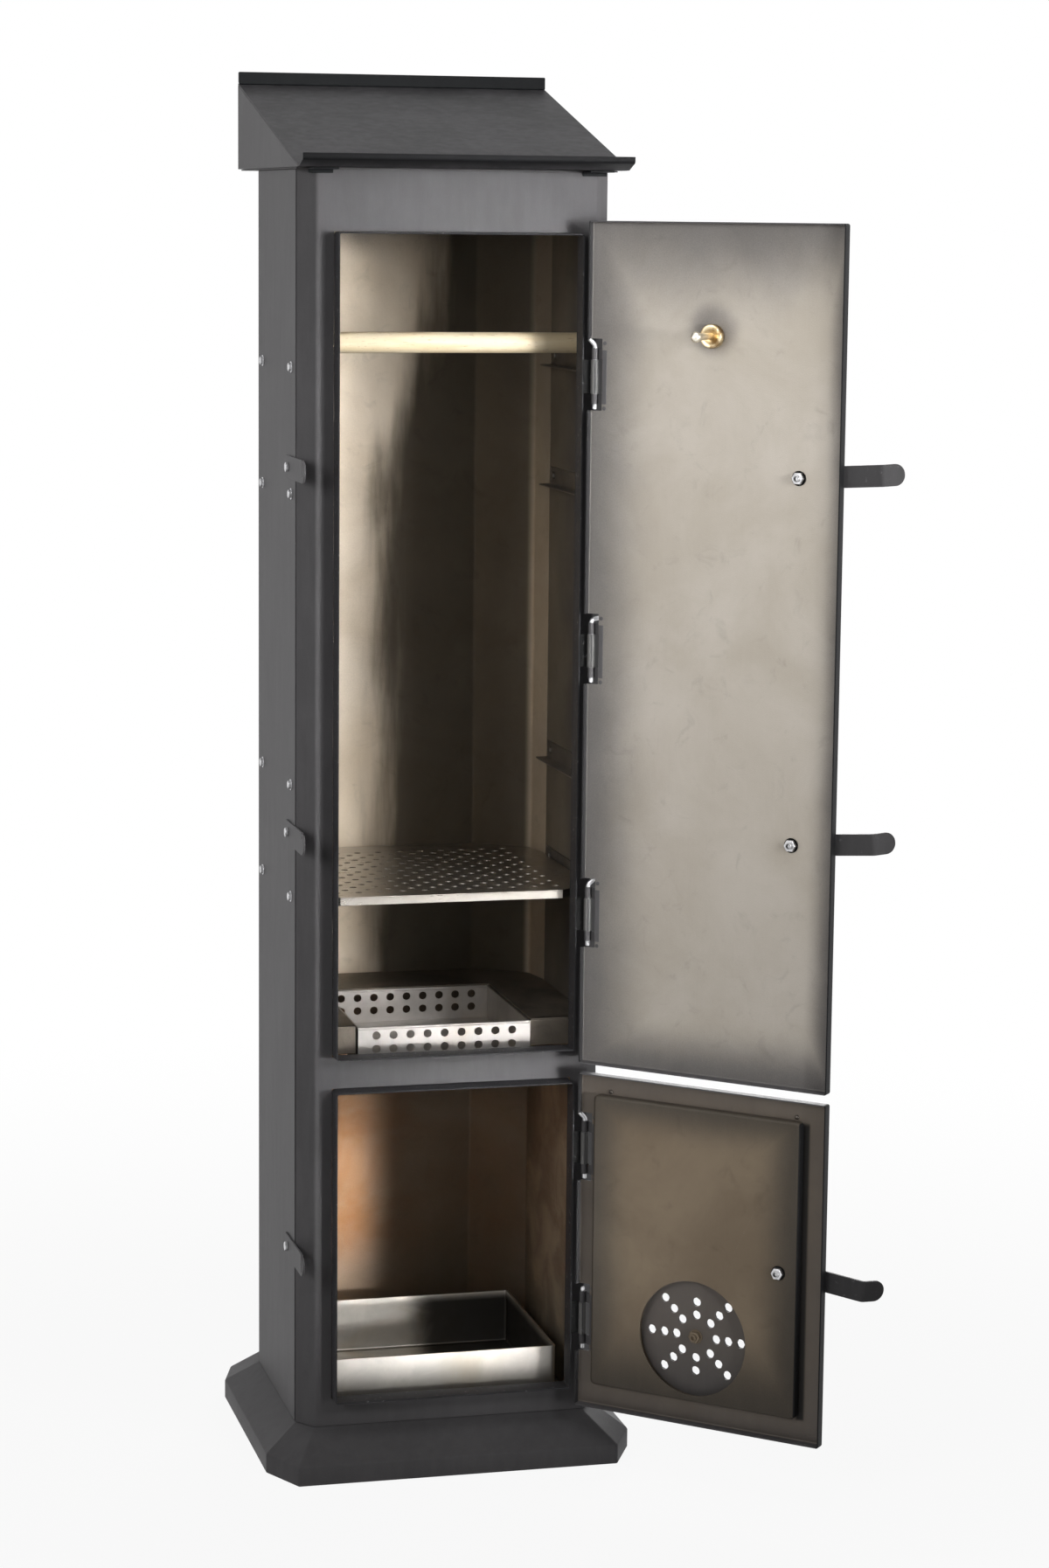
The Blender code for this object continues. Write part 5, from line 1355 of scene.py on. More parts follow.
def build_levers():
    """The three latch levers, each turned on its pivot and then swung with its door."""
    for name, (height, angle, _) in LEVERS.items():
        place = Vector((LEVER_X, DOOR_OUT_Y, height))
        turn = Matrix.Rotation(angle, 4, "Y")
        turn = Matrix.Translation(place) @ turn @ Matrix.Translation(-place)
        piece(
            name + "_lever_blade", [shifted(lever_blade(height), turn)], name + "_lever",
            LATCH_PAINT, [name + "_latch_lever"], edge=0.6 * MM, swing=SWING,
        )
        low = name == "bottom"
        door, seat = ("lower_door", SHIELD_TOP_Y) if low else ("upper_door", DOOR_IN_Y)
        bolt, marks = pivot_bolt(LEVER_X, height, LEVER_OUT_Y - GAP, seat)
        piece(
            name + "_pivot_bolt", bolt, door, ZINC, [name + "_lever_bolt"],
            edge=0.2 * MM, swing=SWING, marks=marks,
        )


CATCH_Y = (-187.9 * MM, -79.0 * MM)
CATCH_HALF = 13.0 * MM
CATCH_X = (-182.3 * MM, -179.92 * MM)
CATCH_NOTCH = (-181.8 * MM, -176.6 * MM)
CATCH_PLAY = 1.1 * MM
CATCH_BOLT_Y = -92.0 * MM
CATCH_BOLT = (5.6 * MM, 3.6 * MM)


def build_catches():
    """Notched tabs with a round nose on the left wall, each with the bolt that holds it. A notch
    ends below the lever that lies in it."""
    (front, back), half = CATCH_Y, CATCH_HALF
    first = math.acos((CATCH_NOTCH[0] - front - half) / half)
    t = np.linspace(first, 1.5 * math.pi, 16)
    for name, (pivot_z, angle, height) in LEVERS.items():
        dips = [pivot_z + (LEVER_X - x) * math.tan(angle) for x in CATCH_X]
        sill = min(dips) - LEVER_HALF / math.cos(angle) - CATCH_PLAY
        nose = (front + half, height) + half * pairs(np.cos(t), np.sin(t))
        rest = [
            (back, height - half), (back, height + half), (CATCH_NOTCH[1], height + half),
            (CATCH_NOTCH[1], sill), (CATCH_NOTCH[0], sill),
        ]
        tab = slab(np.concatenate([nose, rest]), "X", *CATCH_X)
        piece(name + "_catch_tab", [tab], "cabinet", PAINT, [name + "_catch"])
        bolt = hex_nut(CATCH_X[0], CATCH_BOLT_Y, height, *CATCH_BOLT, (-1, 0, 0))
        piece(name + "_catch_bolt", [bolt], "cabinet", ZINC, edge=0.2 * MM)


def build_upper_door():
    """Upper door with its knuckles and pins."""
    pan, bare = door_pan(UPPER_DOOR, UPPER_HINGES)
    knuckles = door_knuckles(UPPER_HINGES)
    piece(
        "upper_door_pan", pan + knuckles, "upper_door", UPPER_DOOR_LOOK,
        ["upper_door_panel"], swing=SWING, marks=bare + all_marked(knuckles),
    )
    build_pins("upper", UPPER_HINGES, ((48, 45), (-120, 85), (-148, 50)))


STEM_NUT = np.array([
    (12.6, -0.2), (13.5, 0.8), (13.5, 7.4), (12.8, 8.6),
    (11.6, 9.0), (9.8, 8.9), (7.6, 7.6), (4.6, 7.0),
]) * MM
STEM_RADIUS, STEM_START = 4.0 * MM, -4.0 * MM
BALL_RADIUS, BALL_MIDDLE = 6.2 * MM, 43.8 * MM
GAUGE_CASE = np.array([
    (0.0, 2.0), (28.0, 2.0), (28.0, 12.2), (28.4, 12.8), (29.1, 13.0), (29.7, 12.7),
    (30.0, 12.0), (30.0, 10.2), (29.4, 9.6), (29.4, 1.2), (28.4, 0.0), (0.0, 0.0),
]) * MM
GAUGE_DIAL = np.array([(0.0, 3.3), (27.6, 3.3), (27.6, 2.3), (0.0, 2.3)]) * MM
GAUGE_LENS = np.array([(0.0, 12.9), (16.0, 12.6), (27.6, 11.9), (27.6, 11.0), (0.0, 11.0)]) * MM
GAUGE_HUB = np.array([(2.2, 3.3), (2.2, 5.8), (1.4, 6.4)]) * MM
GAUGE_HAND = np.array([
    (-1.1, -6.0), (1.1, -6.0), (0.5, 2.0), (0.12, 21.5), (-0.12, 21.5), (-0.5, 2.0)
]) * MM
HAND_TURN = 2.2
TICK_COUNT = 31
TICK_START, TICK_STEP = 135, 9
TICK_RIM = 25.2 * MM
TICK_LEVELS = (3.3 * MM, 3.42 * MM)
LONG_TICK = (0.55 * MM, 5.2 * MM)
SHORT_TICK = (0.28 * MM, 3.0 * MM)


def gauge_marks(face):
    """The dial's ticks, every fifth one longer, with the hand and its hub."""
    parts = []
    for number in range(TICK_COUNT):
        wide, reach = LONG_TICK if number % 5 == 0 else SHORT_TICK
        bar = rectangle(-wide / 2, TICK_RIM - reach, wide / 2, TICK_RIM)
        turn = Matrix.Rotation(math.radians(TICK_START - number * TICK_STEP), 4, "Z")
        parts.append(shifted(slab(bar, "Z", *TICK_LEVELS, edge=0.02 * MM), face @ turn))
    hand = slab(GAUGE_HAND, "Z", 5.0 * MM, 5.5 * MM, edge=0.05 * MM)
    parts.append(shifted(hand, face @ Matrix.Rotation(HAND_TURN, 4, "Z")))
    return parts + [spun(GAUGE_HUB, 20, face)]


def build_gauge():
    """The upper door's thermometer: brass stem with its nut and round tip inside, and the case,
    dial and lens outside."""
    x, z = FITTING_X, GAUGE_Z
    inward = along(INWARD, x, DOOR_IN_Y + GAP, z)
    t = np.linspace(math.asin(STEM_RADIUS / BALL_RADIUS), math.radians(176), 9)
    ball = pairs(BALL_RADIUS * np.sin(t), BALL_MIDDLE - BALL_RADIUS * np.cos(t))
    nut_sides, stem_sides = 32, 22
    bush = [(5.6 * MM, 0.0), (5.6 * MM, 2.2 * MM)]
    parts = [
        spun(STEM_NUT, nut_sides, inward),
        spun([(STEM_RADIUS, STEM_START), *ball], stem_sides, inward),
        spun(bush, 20, along(INWARD, x, DOOR_OUT_Y - 0.3 * MM, z)),
    ]
    marks = all_marked(parts)
    # The nut's dished face is browned: painted shade
    marks[0][-2 * nut_sides:] = 1.0
    marks[1][stem_sides:] = -1.0
    piece(
        "gauge_stem", parts, "upper_door", BRASS, ["thermometer_stem"],
        edge=0.25 * MM, swing=SWING, marks=marks,
    )
    face = along(OUTWARD, x, DOOR_OUT_Y - GAP, z)

    def turned(part, profile, look):
        piece(
            "gauge_" + part, [spun(profile, 56, face)], "upper_door", look,
            ["thermometer_" + part], swing=SWING,
        )

    turned("case", GAUGE_CASE, ZINC)
    turned("dial", GAUGE_DIAL, DIAL)
    piece("gauge_marks", gauge_marks(face), "upper_door", TRIM, swing=SWING)
    turned("lens", GAUGE_LENS, GLASS)


AIR_RAYS = 8
AIR_BANDS = (16.0 * MM, 33.2 * MM, 49.0 * MM)


def air_disc(radius, low, high):
    """A disc drilled in rays of 45 degrees: bands of cells in (turn, radius), each bent to
    (r cos t, r sin t) and joined to its hole, with plain cells where upright rays stop short."""
    way = 2 * math.pi / AIR_RAYS
    bands = np.array((*AIR_BANDS, radius))

    def round_off(flat):
        t, r = flat[..., 0], flat[..., 1]
        return (FITTING_X, AIR_Z) + pairs(r * np.cos(t), r * np.sin(t))

    grids = np.meshgrid(np.arange(len(AIR_RINGS)), np.arange(AIR_RAYS), indexing="ij")
    band, ray = (grid.ravel() for grid in grids)
    lows = pairs((ray - 0.5) * way, bands[band])
    highs = pairs((ray + 0.5) * way, bands[band + 1])
    holes = round_off(pairs(ray * way, np.array(AIR_RINGS)[band]))
    plain = (band == 2) & (ray % 4 == 2)
    drilled = [cell[~plain] for cell in (lows, highs, holes)]
    heights = (low, high)
    parts = [punched(*drilled, AIR_HOLE, "Y", heights, round_off)]
    closed = round_off(lows[plain][:, None] + SQUARE * (highs - lows)[plain][:, None])
    turn = (np.arange(4 * AIR_RAYS) / 4 - 0.5) * way
    hub, rim = (round_off(pairs(turn, r)) for r in (bands[0], radius))
    parts += [many_sided(flat, "Y", y) for flat in (*closed, hub) for y in heights]
    return parts + [loft([spread(rim, "Y", y) for y in heights], ends=False)]


REGULATOR_SHEET = 2.0 * MM
REGULATOR_OUT_Y = DOOR_OUT_Y - GAP - REGULATOR_SHEET
REGULATOR_RADIUS = 72.0 * MM
FIELD_RADIUS = 70.2 * MM
FIELD_BARE = 0.45
KNOB = np.array([
    (0.0, 20.0), (4.2, 19.8), (5.6, 19.0), (6.0, 17.6), (6.0, 12.0),
    (4.4, 9.0), (4.0, 3.0), (5.0, 0.0), (5.0, -1.0),
]) * MM


def build_lower_door():
    """Lower door with a drilled field behind the regulator, its knuckles and pins."""
    pan, bare = door_pan(LOWER_DOOR, LOWER_HINGES, (FITTING_X, AIR_Z, FIELD_RADIUS))
    knuckles = door_knuckles(LOWER_HINGES)
    field = air_disc(FIELD_RADIUS - 0.01 * MM, DOOR_OUT_Y, DOOR_IN_Y)
    marks = bare + all_marked(knuckles) + all_marked(field, FIELD_BARE)
    piece(
        "lower_door_pan", pan + knuckles + field, "lower_door", LOWER_DOOR_LOOK,
        ["lower_door_panel"], swing=SWING, marks=marks,
    )
    build_pins("lower", LOWER_HINGES, ((50, 45), (118, 80)))


def build_regulator():
    """The air disc with its knob outside the lower door, and its bolt, scorched on the inside."""
    disc_out = REGULATOR_OUT_Y
    bolt, _ = pivot_bolt(FITTING_X, AIR_Z, disc_out - GAP, DOOR_IN_Y)
    scorched = all_marked(bolt, 1.0)
    scorched[0][:] = 0.0
    piece(
        "air_pivot_bolt", bolt, "lower_door", LOWER_DOOR_LOOK, ["regulator_bolt"],
        edge=0.2 * MM, swing=SWING, marks=scorched,
    )
    regulator = air_disc(REGULATOR_RADIUS, disc_out, disc_out + REGULATOR_SHEET)
    regulator.append(spun(KNOB, 24, along(OUTWARD, FITTING_X, disc_out, AIR_Z + AIR_RINGS[-1])))
    piece(
        "air_disc", regulator, "regulator", LATCH_PAINT, ["air_regulator"],
        swing=SWING,
    )


SHIELD_RADIUS = 6.0 * MM
SHIELD_FOLD = 3.2 * MM
SHIELD_HOLLOW = 1.7 * MM
SHIELD_STEP = 8.0 * MM
WINDOW_RADIUS = 67.5 * MM
RIVET_XS = (117.0 * MM, -119.0 * MM)
RIVET_RISE = 3.6 * MM
RIVET_HEAD = (2.7 * MM, 2.0 * MM)


def build_shield():
    """The lower door's heat shield: rings run from its foot, round the fold, across the face to a
    round window, through it and back behind; two rivets stand above it."""
    rim = outline(rectangle(*SHIELD_LOW, *SHIELD_HIGH), 0.0, SHIELD_RADIUS, 6)
    base, _ = dense(rim, (), SHIELD_STEP)
    circle = unit(base - (FITTING_X, AIR_Z))
    top, under = SHIELD_TOP_Y, SHIELD_TOP_Y - THIN

    def at(inset, y):
        return spread(offset(base, inset, True), "Y", y)

    def window(wider, y):
        return spread((FITTING_X, AIR_Z) + (WINDOW_RADIUS + wider) * circle, "Y", y)

    rings = [at(0.0, SHIELD_FOOT_Y)]
    rings += [at(inset, top - drop) for inset, drop in quarter(SHIELD_FOLD)]
    rings += [at(SHIELD_FOLD + FOLD_BRACE, top), window(0.9 * MM, top)]
    rings += [window(0.3 * MM, top - 0.1 * MM), window(0.0, top - 0.5 * MM)]
    rings += [window(0.0, under), window(0.9 * MM, under)]
    rings += [at(THIN + SHIELD_HOLLOW + FOLD_BRACE, under)]
    rings += [at(THIN + inset, under - drop) for inset, drop in quarter(SHIELD_HOLLOW)[::-1]]
    rings += [at(THIN, SHIELD_FOOT_Y)]
    piece(
        "shield_pan", [loft(rings, closed=True)], "lower_door", SHIELD_LOOK,
        ["heat_shield"], swing=SWING,
    )
    seat, height = SHIELD_FOOT_Y - GAP, SHIELD_HIGH[1] + RIVET_RISE
    rivets = [dome(x, seat, height, *RIVET_HEAD, INWARD) for x in RIVET_XS]
    piece("shield_rivets", rivets, "lower_door", BLACKENED, swing=SWING)


# Racks and trays

RAIL_X = 176.7 * MM
RAIL_Y = (-120.0 * MM, 100.0 * MM)
RAIL_RISE = 15.0 * MM
RAIL_DROP = 7.0 * MM
RAIL_LEDGE = 16.0 * MM
RAIL_FOLD = 3.2 * MM
SCREW_WASHER = [(6.4 * MM, 0.0), (6.4 * MM, 0.9 * MM)]
SCREW_HEAD = (4.9 * MM, 3.4 * MM)
RAIL_NUT = (4.4 * MM, 3.0 * MM)
RAIL_NUT_RISE = 6.0 * MM


def build_rails():
    """Angle rails on both walls and the screws that hold them from outside."""
    for name, hand in HANDS:
        parts, screws = [], []
        out, back = (hand, 0, 0), (-hand, 0, 0)
        wall, tip = hand * RAIL_X, hand * (RAIL_X - RAIL_LEDGE)
        for line in RAIL_LINES:
            low = line - RAIL_DROP
            path = [(wall, line + RAIL_RISE), (wall, low), (tip, low)]
            parts.append(carried(folded(path, -hand * SHEET, RAIL_FOLD), "Y", *RAIL_Y))
            for y in SCREW_YS:
                seat = along(out, hand * (SIDE_OUT - 0.05 * MM), y, line)
                screws.append(spun(SCREW_WASHER, 20, seat))
                head_x, nut_x = hand * (SIDE_OUT + 0.7 * MM), hand * (RAIL_X - SHEET)
                screws.append(hex_nut(head_x, y, line, *SCREW_HEAD, out))
                parts.append(hex_nut(nut_x, y, line + RAIL_NUT_RISE, *RAIL_NUT, back))
        nodes = [f"{name}_rail_{number}" for number in range(1, 5)]
        piece(name + "_rails", parts, "cabinet", SHADED_RAIL_STEEL, nodes, edge=0.35 * MM)
        piece(name + "_rail_screws", screws, "cabinet", ZINC, edge=0.15 * MM)


def perforated(border, splits, low, pitch, counts, radius, plane, heights, stagger=False):
    """A plate with a rectangle of holes in rows: drilled cells fill the rectangle, plain half cells
    end every other row when the rows are staggered, and four many-sided faces reach out to the
    border."""
    rows = np.arange(counts[1])
    odd = (rows % 2 == 1) & stagger
    column, row = np.meshgrid(np.arange(counts[0]), rows, indexing="xy")
    keep = ~(odd[row] & (column == counts[0] - 1))
    start = pairs(column + 0.5 * odd[row], row)[keep] * pitch + low
    parts = [punched(start, start + pitch, start + pitch / 2, radius, plane, heights)]
    half = around(STEP[::2], STEP) * (0.5, 1.0)
    ends = np.concatenate([pairs(column, rows[odd]) for column in (0.0, counts[0] - 0.5)])
    fills = [(half + end) * pitch + low for end in ends]
    across, up = (len(STEP) * count for count in counts)
    field = around(np.arange(across) / across, np.arange(up) / up) * (pitch * counts) + low
    corners = np.cumsum([0, across, up, across, up])
    turns = [*splits, splits[0] + len(border)]
    for first, last, begin, end in zip(turns, turns[1:], corners, corners[1:]):
        side = field[np.arange(end, begin - 1, -1) % len(field)]
        fills.append(np.concatenate([border[np.arange(first, last + 1) % len(border)], side]))
    parts += [many_sided(flat, plane, h) for flat in fills for h in heights]
    return parts + [loft([spread(border, plane, h) for h in heights], ends=False)]


SHELF_HALF = 172.2 * MM
SHELF_FRONT = -147.0 * MM
SHELF_FRONT_HALF = 131.0 * MM
SHELF_CORNER_Y = -110.0 * MM
SHELF_LIP_END = 100.0 * MM
SHELF_PLAY = 5.0 * MM
SHELF_TOP = 676.0 * MM
SHELF_LOW = 666.3 * MM
SHELF_PITCH = np.array((26.0, 16.3)) * MM
SHELF_COUNTS = (11, 17)
SHELF_FIELD_Y = -126.0 * MM
SHELF_HOLE = 4.2 * MM


def build_shelf():
    """Perforated shelf: staggered round holes, and lips turned down along the front and sides."""
    rear = offset(mirrored(BODY_HALF), SHEET + SHELF_PLAY, True)[2:5]
    half = np.array([
        (SHELF_FRONT_HALF, SHELF_FRONT), (SHELF_HALF, SHELF_CORNER_Y), (SHELF_HALF, rear[0][1]),
        (min(SHELF_HALF, rear[1][0]), rear[1][1]), rear[2],
    ])
    border = np.roll(mirrored(half), 1, 0)
    start = np.array((-SHELF_PITCH[0] * SHELF_COUNTS[0] / 2, SHELF_FIELD_Y))
    parts = perforated(
        border, (0, 1, 5, 6), start, SHELF_PITCH, SHELF_COUNTS, SHELF_HOLE, "Z",
        (SHELF_TOP - THIN, SHELF_TOP), stagger=True,
    )
    inner = SHELF_FRONT + THIN
    lips = [rectangle(-SHELF_FRONT_HALF, SHELF_FRONT, SHELF_FRONT_HALF, inner)]
    for _, hand in HANDS:
        left, right = handed(hand, SHELF_HALF, SHELF_HALF - THIN)
        lips.append(rectangle(left, SHELF_CORNER_Y, right, SHELF_LIP_END))
        cut = half[:2] * (hand, 1)
        strip = np.concatenate([cut, offset(cut, hand * THIN)[::-1]])
        lips.append(strip[::hand])
    parts += [slab(lip, "Z", SHELF_LOW, SHELF_TOP - THIN / 2) for lip in lips]
    piece("shelf_plate", parts, "shelf", SHELF_STEEL, ["perforated_shelf"])


BASKET_HALF = 103.0 * MM
BASKET_FRONT = -112.0 * MM
BASKET_BACK = 97.0 * MM
BASKET_LOW = 474.0 * MM
BASKET_TOP = 515.0 * MM
BASKET_PITCH = np.array((20.3, 16.0)) * MM
BASKET_COUNTS = (9, 2)
BASKET_HOLE = 4.9 * MM
BASKET_ROW = 9.8 * MM
RIM_ROLL = 1.5 * MM
RIM_RADIUS = 2.6 * MM


def build_basket():
    """Chip basket: drilled front and back, plain sides and floor, and a rolled rim."""
    x, front, back, low, top = BASKET_HALF, BASKET_FRONT, BASKET_BACK, BASKET_LOW, BASKET_TOP
    first = (-BASKET_PITCH[0] * BASKET_COUNTS[0] / 2, top - BASKET_ROW - 1.5 * BASKET_PITCH[1])
    wall = rectangle(-x, low, x, top)
    parts = []
    for faces in ((front, front + THIN), (back - THIN, back)):
        parts += perforated(
            wall, (0, 1, 2, 3), first, BASKET_PITCH, BASKET_COUNTS, BASKET_HOLE, "Y", faces
        )
    side = rectangle(front + THIN, low, back - THIN, top)
    parts += [slab(side, "X", *handed(hand, x, x - THIN), edge=0.2 * MM) for _, hand in HANDS]
    tray = rectangle(-x + THIN, front + THIN, x - THIN, back - THIN)
    parts.append(slab(tray, "Z", low, low + THIN, edge=0.2 * MM))
    rim = rectangle(-x, front, x, back)
    loops = [
        spread(outline(rim, THIN / 2 - across, RIM_RADIUS), "Z", top - RIM_ROLL + up)
        for across, up in ring(RIM_ROLL, 10)
    ]
    parts.append(loft(loops, closed=True))
    piece("basket_tray", parts, "basket", STEEL, ["chip_basket"])


PAN_OUTLINE = rectangle(-137.0 * MM, -118.0 * MM, 137.0 * MM, 120.0 * MM)
PAN_RADIUS = 4.5 * MM
PAN_LOW = 53.6 * MM
PAN_TOP = 120.0 * MM
PAN_FOLD = 3.5 * MM
PAN_HOLLOW = 2.4 * MM
PAN_BRACE = 0.8 * MM
PAN_SHADED_RINGS = 7


def build_ash_pan():
    """A tray: rings of its outline run from the floor's underside, up the wall, over a folded rim
    and down to the floor's top; its last rings take a painted shadow."""
    low, top = PAN_LOW, PAN_TOP
    rings = [(PAN_FOLD + PAN_BRACE, low)]
    rings += [(inset, low + drop) for inset, drop in quarter(PAN_FOLD, 4)[::-1]]
    rings += [
        (0.0, top - 0.8 * MM), (0.25 * MM, top - 0.2 * MM), (0.8 * MM, top), (2.2 * MM, top),
        (2.8 * MM, top - 0.3 * MM), (3.0 * MM, top - 1.0 * MM), (3.0 * MM, top - 10.0 * MM),
        (THIN, top - 10.4 * MM),
    ]
    rings += [(THIN + inset, low + THIN + drop) for inset, drop in quarter(PAN_HOLLOW, 4)]
    rings += [(THIN + PAN_HOLLOW + PAN_BRACE, low + THIN)]
    loops = [spread(outline(PAN_OUTLINE, inset, PAN_RADIUS), "Z", z) for inset, z in rings]
    clean = len(loops) - PAN_SHADED_RINGS
    shaded = np.repeat([0.0, 1.0], [clean * len(loops[0]), PAN_SHADED_RINGS * len(loops[0])])
    piece("ash_tray", [loft(loops)], "pan", PAN_STEEL, ["ash_pan"], marks=[shaded])


DECK_PLAY = 1.0 * MM
BAY_BACK = 98.5 * MM
DECK_FOLD = 3.0 * MM
FLANGE_DROP = 32.0 * MM
FLANGE_LAP = 8.0 * MM
HANGER_LEDGE = 14.0 * MM


def build_deck():
    """Baffle deck with the basket's bay, its front flanges and the hangers under the basket."""
    inner = offset(mirrored(BODY_HALF), SHEET + DECK_PLAY, True)
    side, bay, front = inner[2][0], BASKET_CUT, DECK_FRONT_Y
    corners = [(side, front), *inner[2:8], (-side, front), (-bay, front)]
    corners += [(-bay, BAY_BACK), (bay, BAY_BACK), (bay, front)]
    parts = [slab(np.array(corners), "Z", DECK_TOP - SHEET, DECK_TOP)]
    ledge = BASKET_LOW - GAP - SHEET
    flange = [(front, DECK_TOP - FLANGE_DROP), (front, DECK_TOP), (front + FLANGE_LAP, DECK_TOP)]
    flange = folded(flange, -SHEET, DECK_FOLD)
    for _, hand in HANDS:
        parts.append(carried(flange, "X", *handed(hand, bay, side)))
        wall, tip = hand * (bay + SHEET), hand * (bay + SHEET - HANGER_LEDGE)
        hanger = [(wall, DECK_TOP - SHEET / 2), (wall, ledge), (tip, ledge)]
        hanger = folded(hanger, -hand * SHEET, DECK_FOLD)
        parts.append(carried(hanger, "Y", front + SHEET / 2, BASKET_BACK))
    piece("deck_plate", parts, "cabinet", SMOKED, ["baffle_deck"], edge=0.3 * MM)


LINER_X = (160.0 * MM, 162.0 * MM)


def build_liners():
    """Flat heat plates beside the fire."""
    for name, hand in HANDS:
        low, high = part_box(name + "_firebox_liner")
        face = rectangle(low[1], low[2], high[1], high[2])
        plate = slab(face, "X", *handed(hand, *LINER_X), edge=0.5 * MM)
        piece(
            name + "_liner", [plate], "cabinet", LINER, [name + "_firebox_liner"]
        )


ROD_HALF = 176.5 * MM
ROD_RADIUS = 11.9 * MM
ROD_CHAMFER = 1.2 * MM
ROD_PLACE = (-90.0 * MM, 1304.3 * MM)
ROD_EVEN = 170.0 * MM
ROD_WANDER, ROD_WAVES = 0.006, 61.0


def build_rod():
    """Turned rod: a circle carried along X, with chamfered ends; its radius wanders slowly as
    r (1 - w (1 + sin k x) / 2)."""
    end = ROD_HALF - ROD_CHAMFER
    x = np.array([-ROD_HALF, -end, *np.linspace(-ROD_EVEN, ROD_EVEN, 24), end, ROD_HALF])
    radii = ROD_RADIUS * (1 - ROD_WANDER * (1 + np.sin(x * ROD_WAVES)) / 2)
    radii[[0, -1]] = ROD_RADIUS - ROD_CHAMFER
    path = np.stack(np.broadcast_arrays(x, *ROD_PLACE), -1)
    rod = tube(path, radii, 28, np.array((0.0, 1.0, 0.0)))
    piece("turned_rod", [rod], "rod", WOOD, ["hanging_rod"])


build_plinth()
build_walls()
build_collars()
build_roof()
build_upper_door()
build_gauge()
build_lower_door()
build_regulator()
build_shield()
build_levers()
build_catches()
build_rails()
build_shelf()
build_basket()
build_ash_pan()
build_deck()
build_liners()
build_rod()
dress(PAINT, "base_plate", "top_plate", "roof_back")
dress(SMOKED, "firebox_floor", "left_deck_rail", "right_deck_rail")


# Floor, light and camera

FLOOR_HALF = 30.0


def build_stage():
    """A wide pale floor that keeps the shadow and otherwise meets a white surround."""
    mesh = bpy.data.meshes.new("floor")
    corners = rectangle(-FLOOR_HALF, -FLOOR_HALF, FLOOR_HALF, FLOOR_HALF)
    mesh.from_pydata(spread(corners, "Z", 0.0).tolist(), [], [(0, 1, 2, 3)])
    f = Finish("pale_floor")
    grain = f.noise(f.object_place(), 40.0, 3.0, 0.5)
    colour = f.mix(0.08 * grain, tint(0.90, 0.90, 0.90), tint(0.80, 0.80, 0.80))
    pale = f.node("ShaderNodeBsdfDiffuse", None, {"Color": colour})
    glow = f.node("ShaderNodeEmission", None, {"Color": tint(1.0, 1.0, 1.0), "Strength": 1.0})
    length = {"operation": "LENGTH"}
    reach = f.node("ShaderNodeVectorMath", length, {0: f.object_place()}, "Value")
    share = f.smooth(reach, 0.4, 2.2, 0.92, 1.0) * f.seen()
    shader = f.node("ShaderNodeMixShader", None, {0: share, 1: pale, 2: glow})
    f.node("ShaderNodeOutputMaterial", None, {"Surface": shader})
    mesh.materials.append(f.owner)
    floor = bpy.data.objects.new("floor", mesh)
    bpy.context.scene.collection.objects.link(floor)


def lamp(name, place, aim, width, height, power, spread_angle):
    """A soft rectangular light turned towards a point, with a limited spread."""
    data = bpy.data.lights.new(name, "AREA")
    data.shape = "RECTANGLE"
    data.size, data.size_y = width, height
    data.energy = power
    data.spread = math.radians(spread_angle)
    obj = bpy.data.objects.new(name, data)
    obj.location = place
    obj.rotation_euler = (Vector(aim) - Vector(place)).to_track_quat("-Z", "Y").to_euler()
    bpy.context.scene.collection.objects.link(obj)


WORLD_FILL = 0.01


def build_world():
    """White to the eye and in reflections, a plain fill for everything else."""
    f = Finish("surround", bpy.data.worlds)
    strength = WORLD_FILL + (1.0 - WORLD_FILL) * f.seen()
    light = {"Color": tint(1.0, 1.0, 1.0), "Strength": strength}
    f.node("ShaderNodeOutputWorld", None, {"Surface": f.node("ShaderNodeBackground", None, light)})
    bpy.context.scene.world = f.owner


CAMERA_PLACE = (-0.959, -4.254, 1.453)
CAMERA_YAW, CAMERA_PITCH, CAMERA_ROLL = (math.radians(a) for a in (14.25, 8.74, 0.60))
FOCAL_PIXELS = 4262.0
FRAME_PIXELS = 1794.0
SENSOR = 36.0


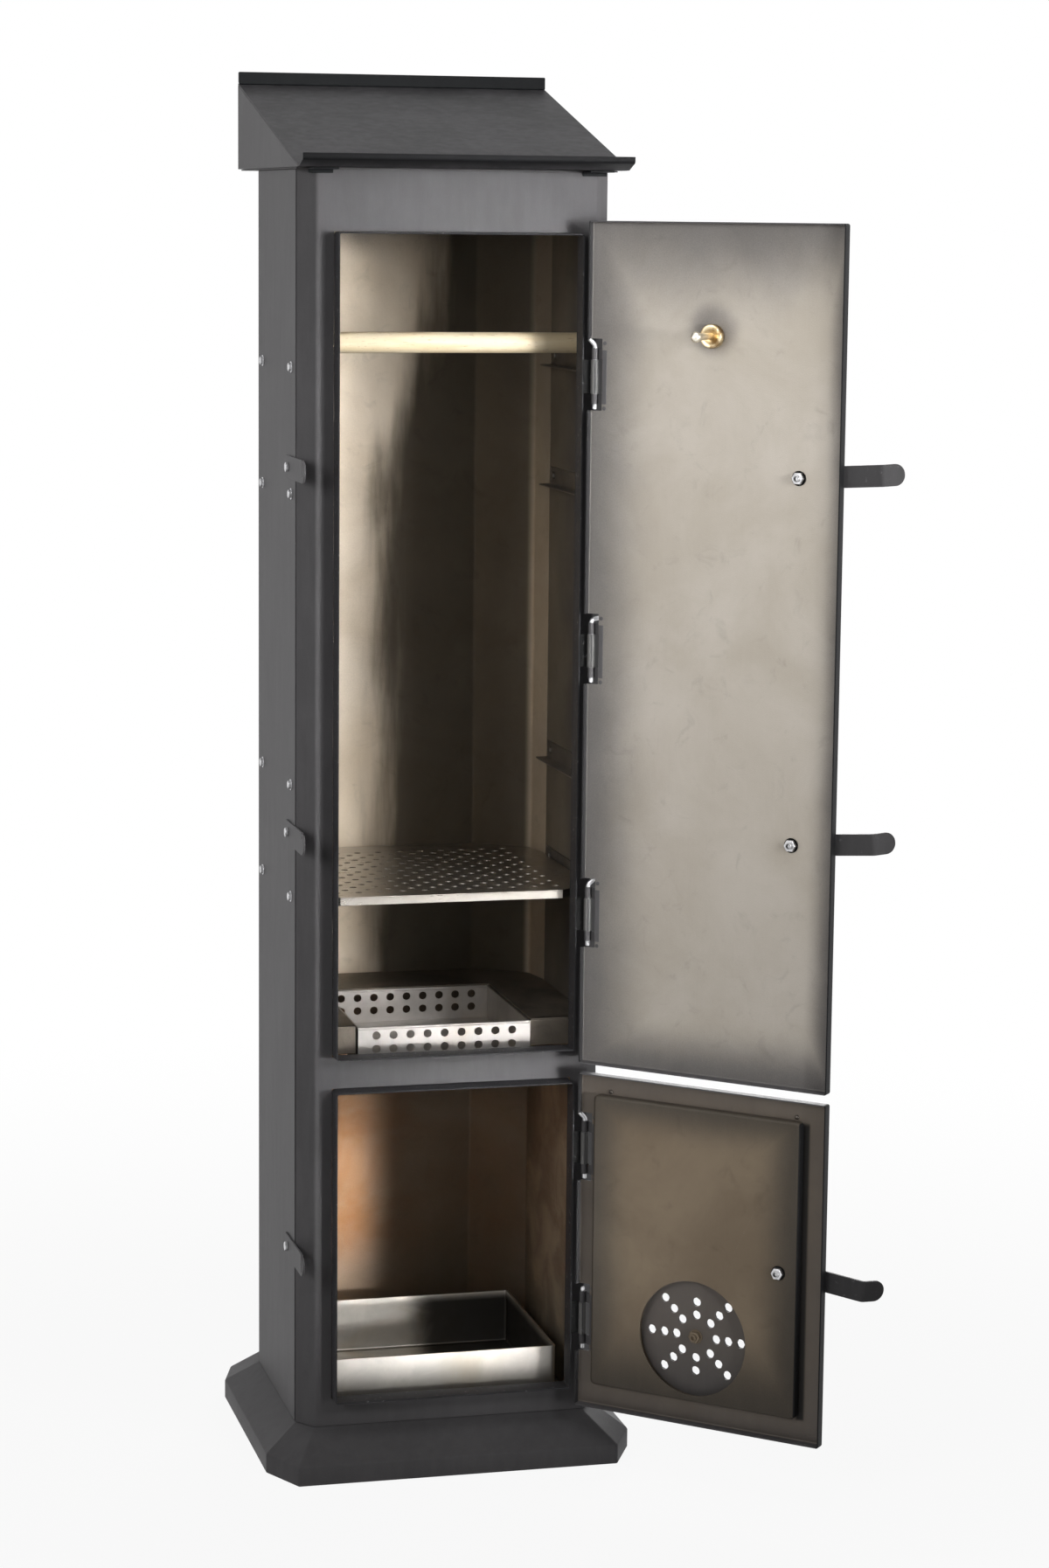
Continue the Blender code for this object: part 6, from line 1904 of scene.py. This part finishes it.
def build_camera():
    """The photograph's view: the camera's place, its turn from +Y and its lens, for a frame of 1200
    by 1794 pixels."""
    cos_pitch = math.cos(CAMERA_PITCH)
    right = Vector((math.cos(CAMERA_YAW), -math.sin(CAMERA_YAW), 0.0))
    ahead = Vector((
        math.sin(CAMERA_YAW) * cos_pitch, math.cos(CAMERA_YAW) * cos_pitch, -math.sin(CAMERA_PITCH)
    ))
    up = right.cross(ahead)
    side = math.cos(CAMERA_ROLL) * right + math.sin(CAMERA_ROLL) * up
    top = math.cos(CAMERA_ROLL) * up - math.sin(CAMERA_ROLL) * right
    data = bpy.data.cameras.new("view")
    data.sensor_width = SENSOR
    data.lens = SENSOR * FOCAL_PIXELS / FRAME_PIXELS
    data.clip_end = 100.0
    camera = bpy.data.objects.new("view", data)
    turn = Matrix((side, top, -ahead)).transposed().to_4x4()
    camera.matrix_world = Matrix.Translation(CAMERA_PLACE) @ turn
    bpy.context.scene.collection.objects.link(camera)
    bpy.context.scene.camera = camera


# Each lamp's place, aim, width, height, power in watts and spread in degrees
LAMPS = {
    "key_light": ((-2.2, -1.9, 1.9), (0.05, -0.15, 1.15), 1.2, 1.2, 4.6, 70.0),
    "left_light": ((-2.6, 0.2, 0.9), (-0.18, 0.0, 0.8), 1.0, 1.0, 1.1, 90.0),
    "right_light": ((0.95, -1.75, 1.5), (0.05, -0.15, 1.3), 0.7, 0.7, 4.8, 74.0),
    "chamber_light": ((0.95, -1.75, 0.95), (-0.10, 0.05, 0.95), 0.25, 1.2, 1.1, 16.0),
    "firebox_light": ((0.80, -1.80, 0.40), (-0.08, 0.10, 0.26), 0.20, 0.20, 0.29, 12.0),
    "back_light": ((1.3, 2.9, 1.2), (0.10, 0.15, 0.9), 1.4, 1.2, 14.0, 90.0),
    "top_light": ((0.1, -0.7, 3.6), (0.0, 0.0, 1.4), 1.6, 1.6, 5.0, 120.0),
}
build_stage()
build_camera()
build_world()
for lamp_name, settings in LAMPS.items():
    lamp(lamp_name, *settings)
bpy.context.scene.view_settings.view_transform = "Standard"
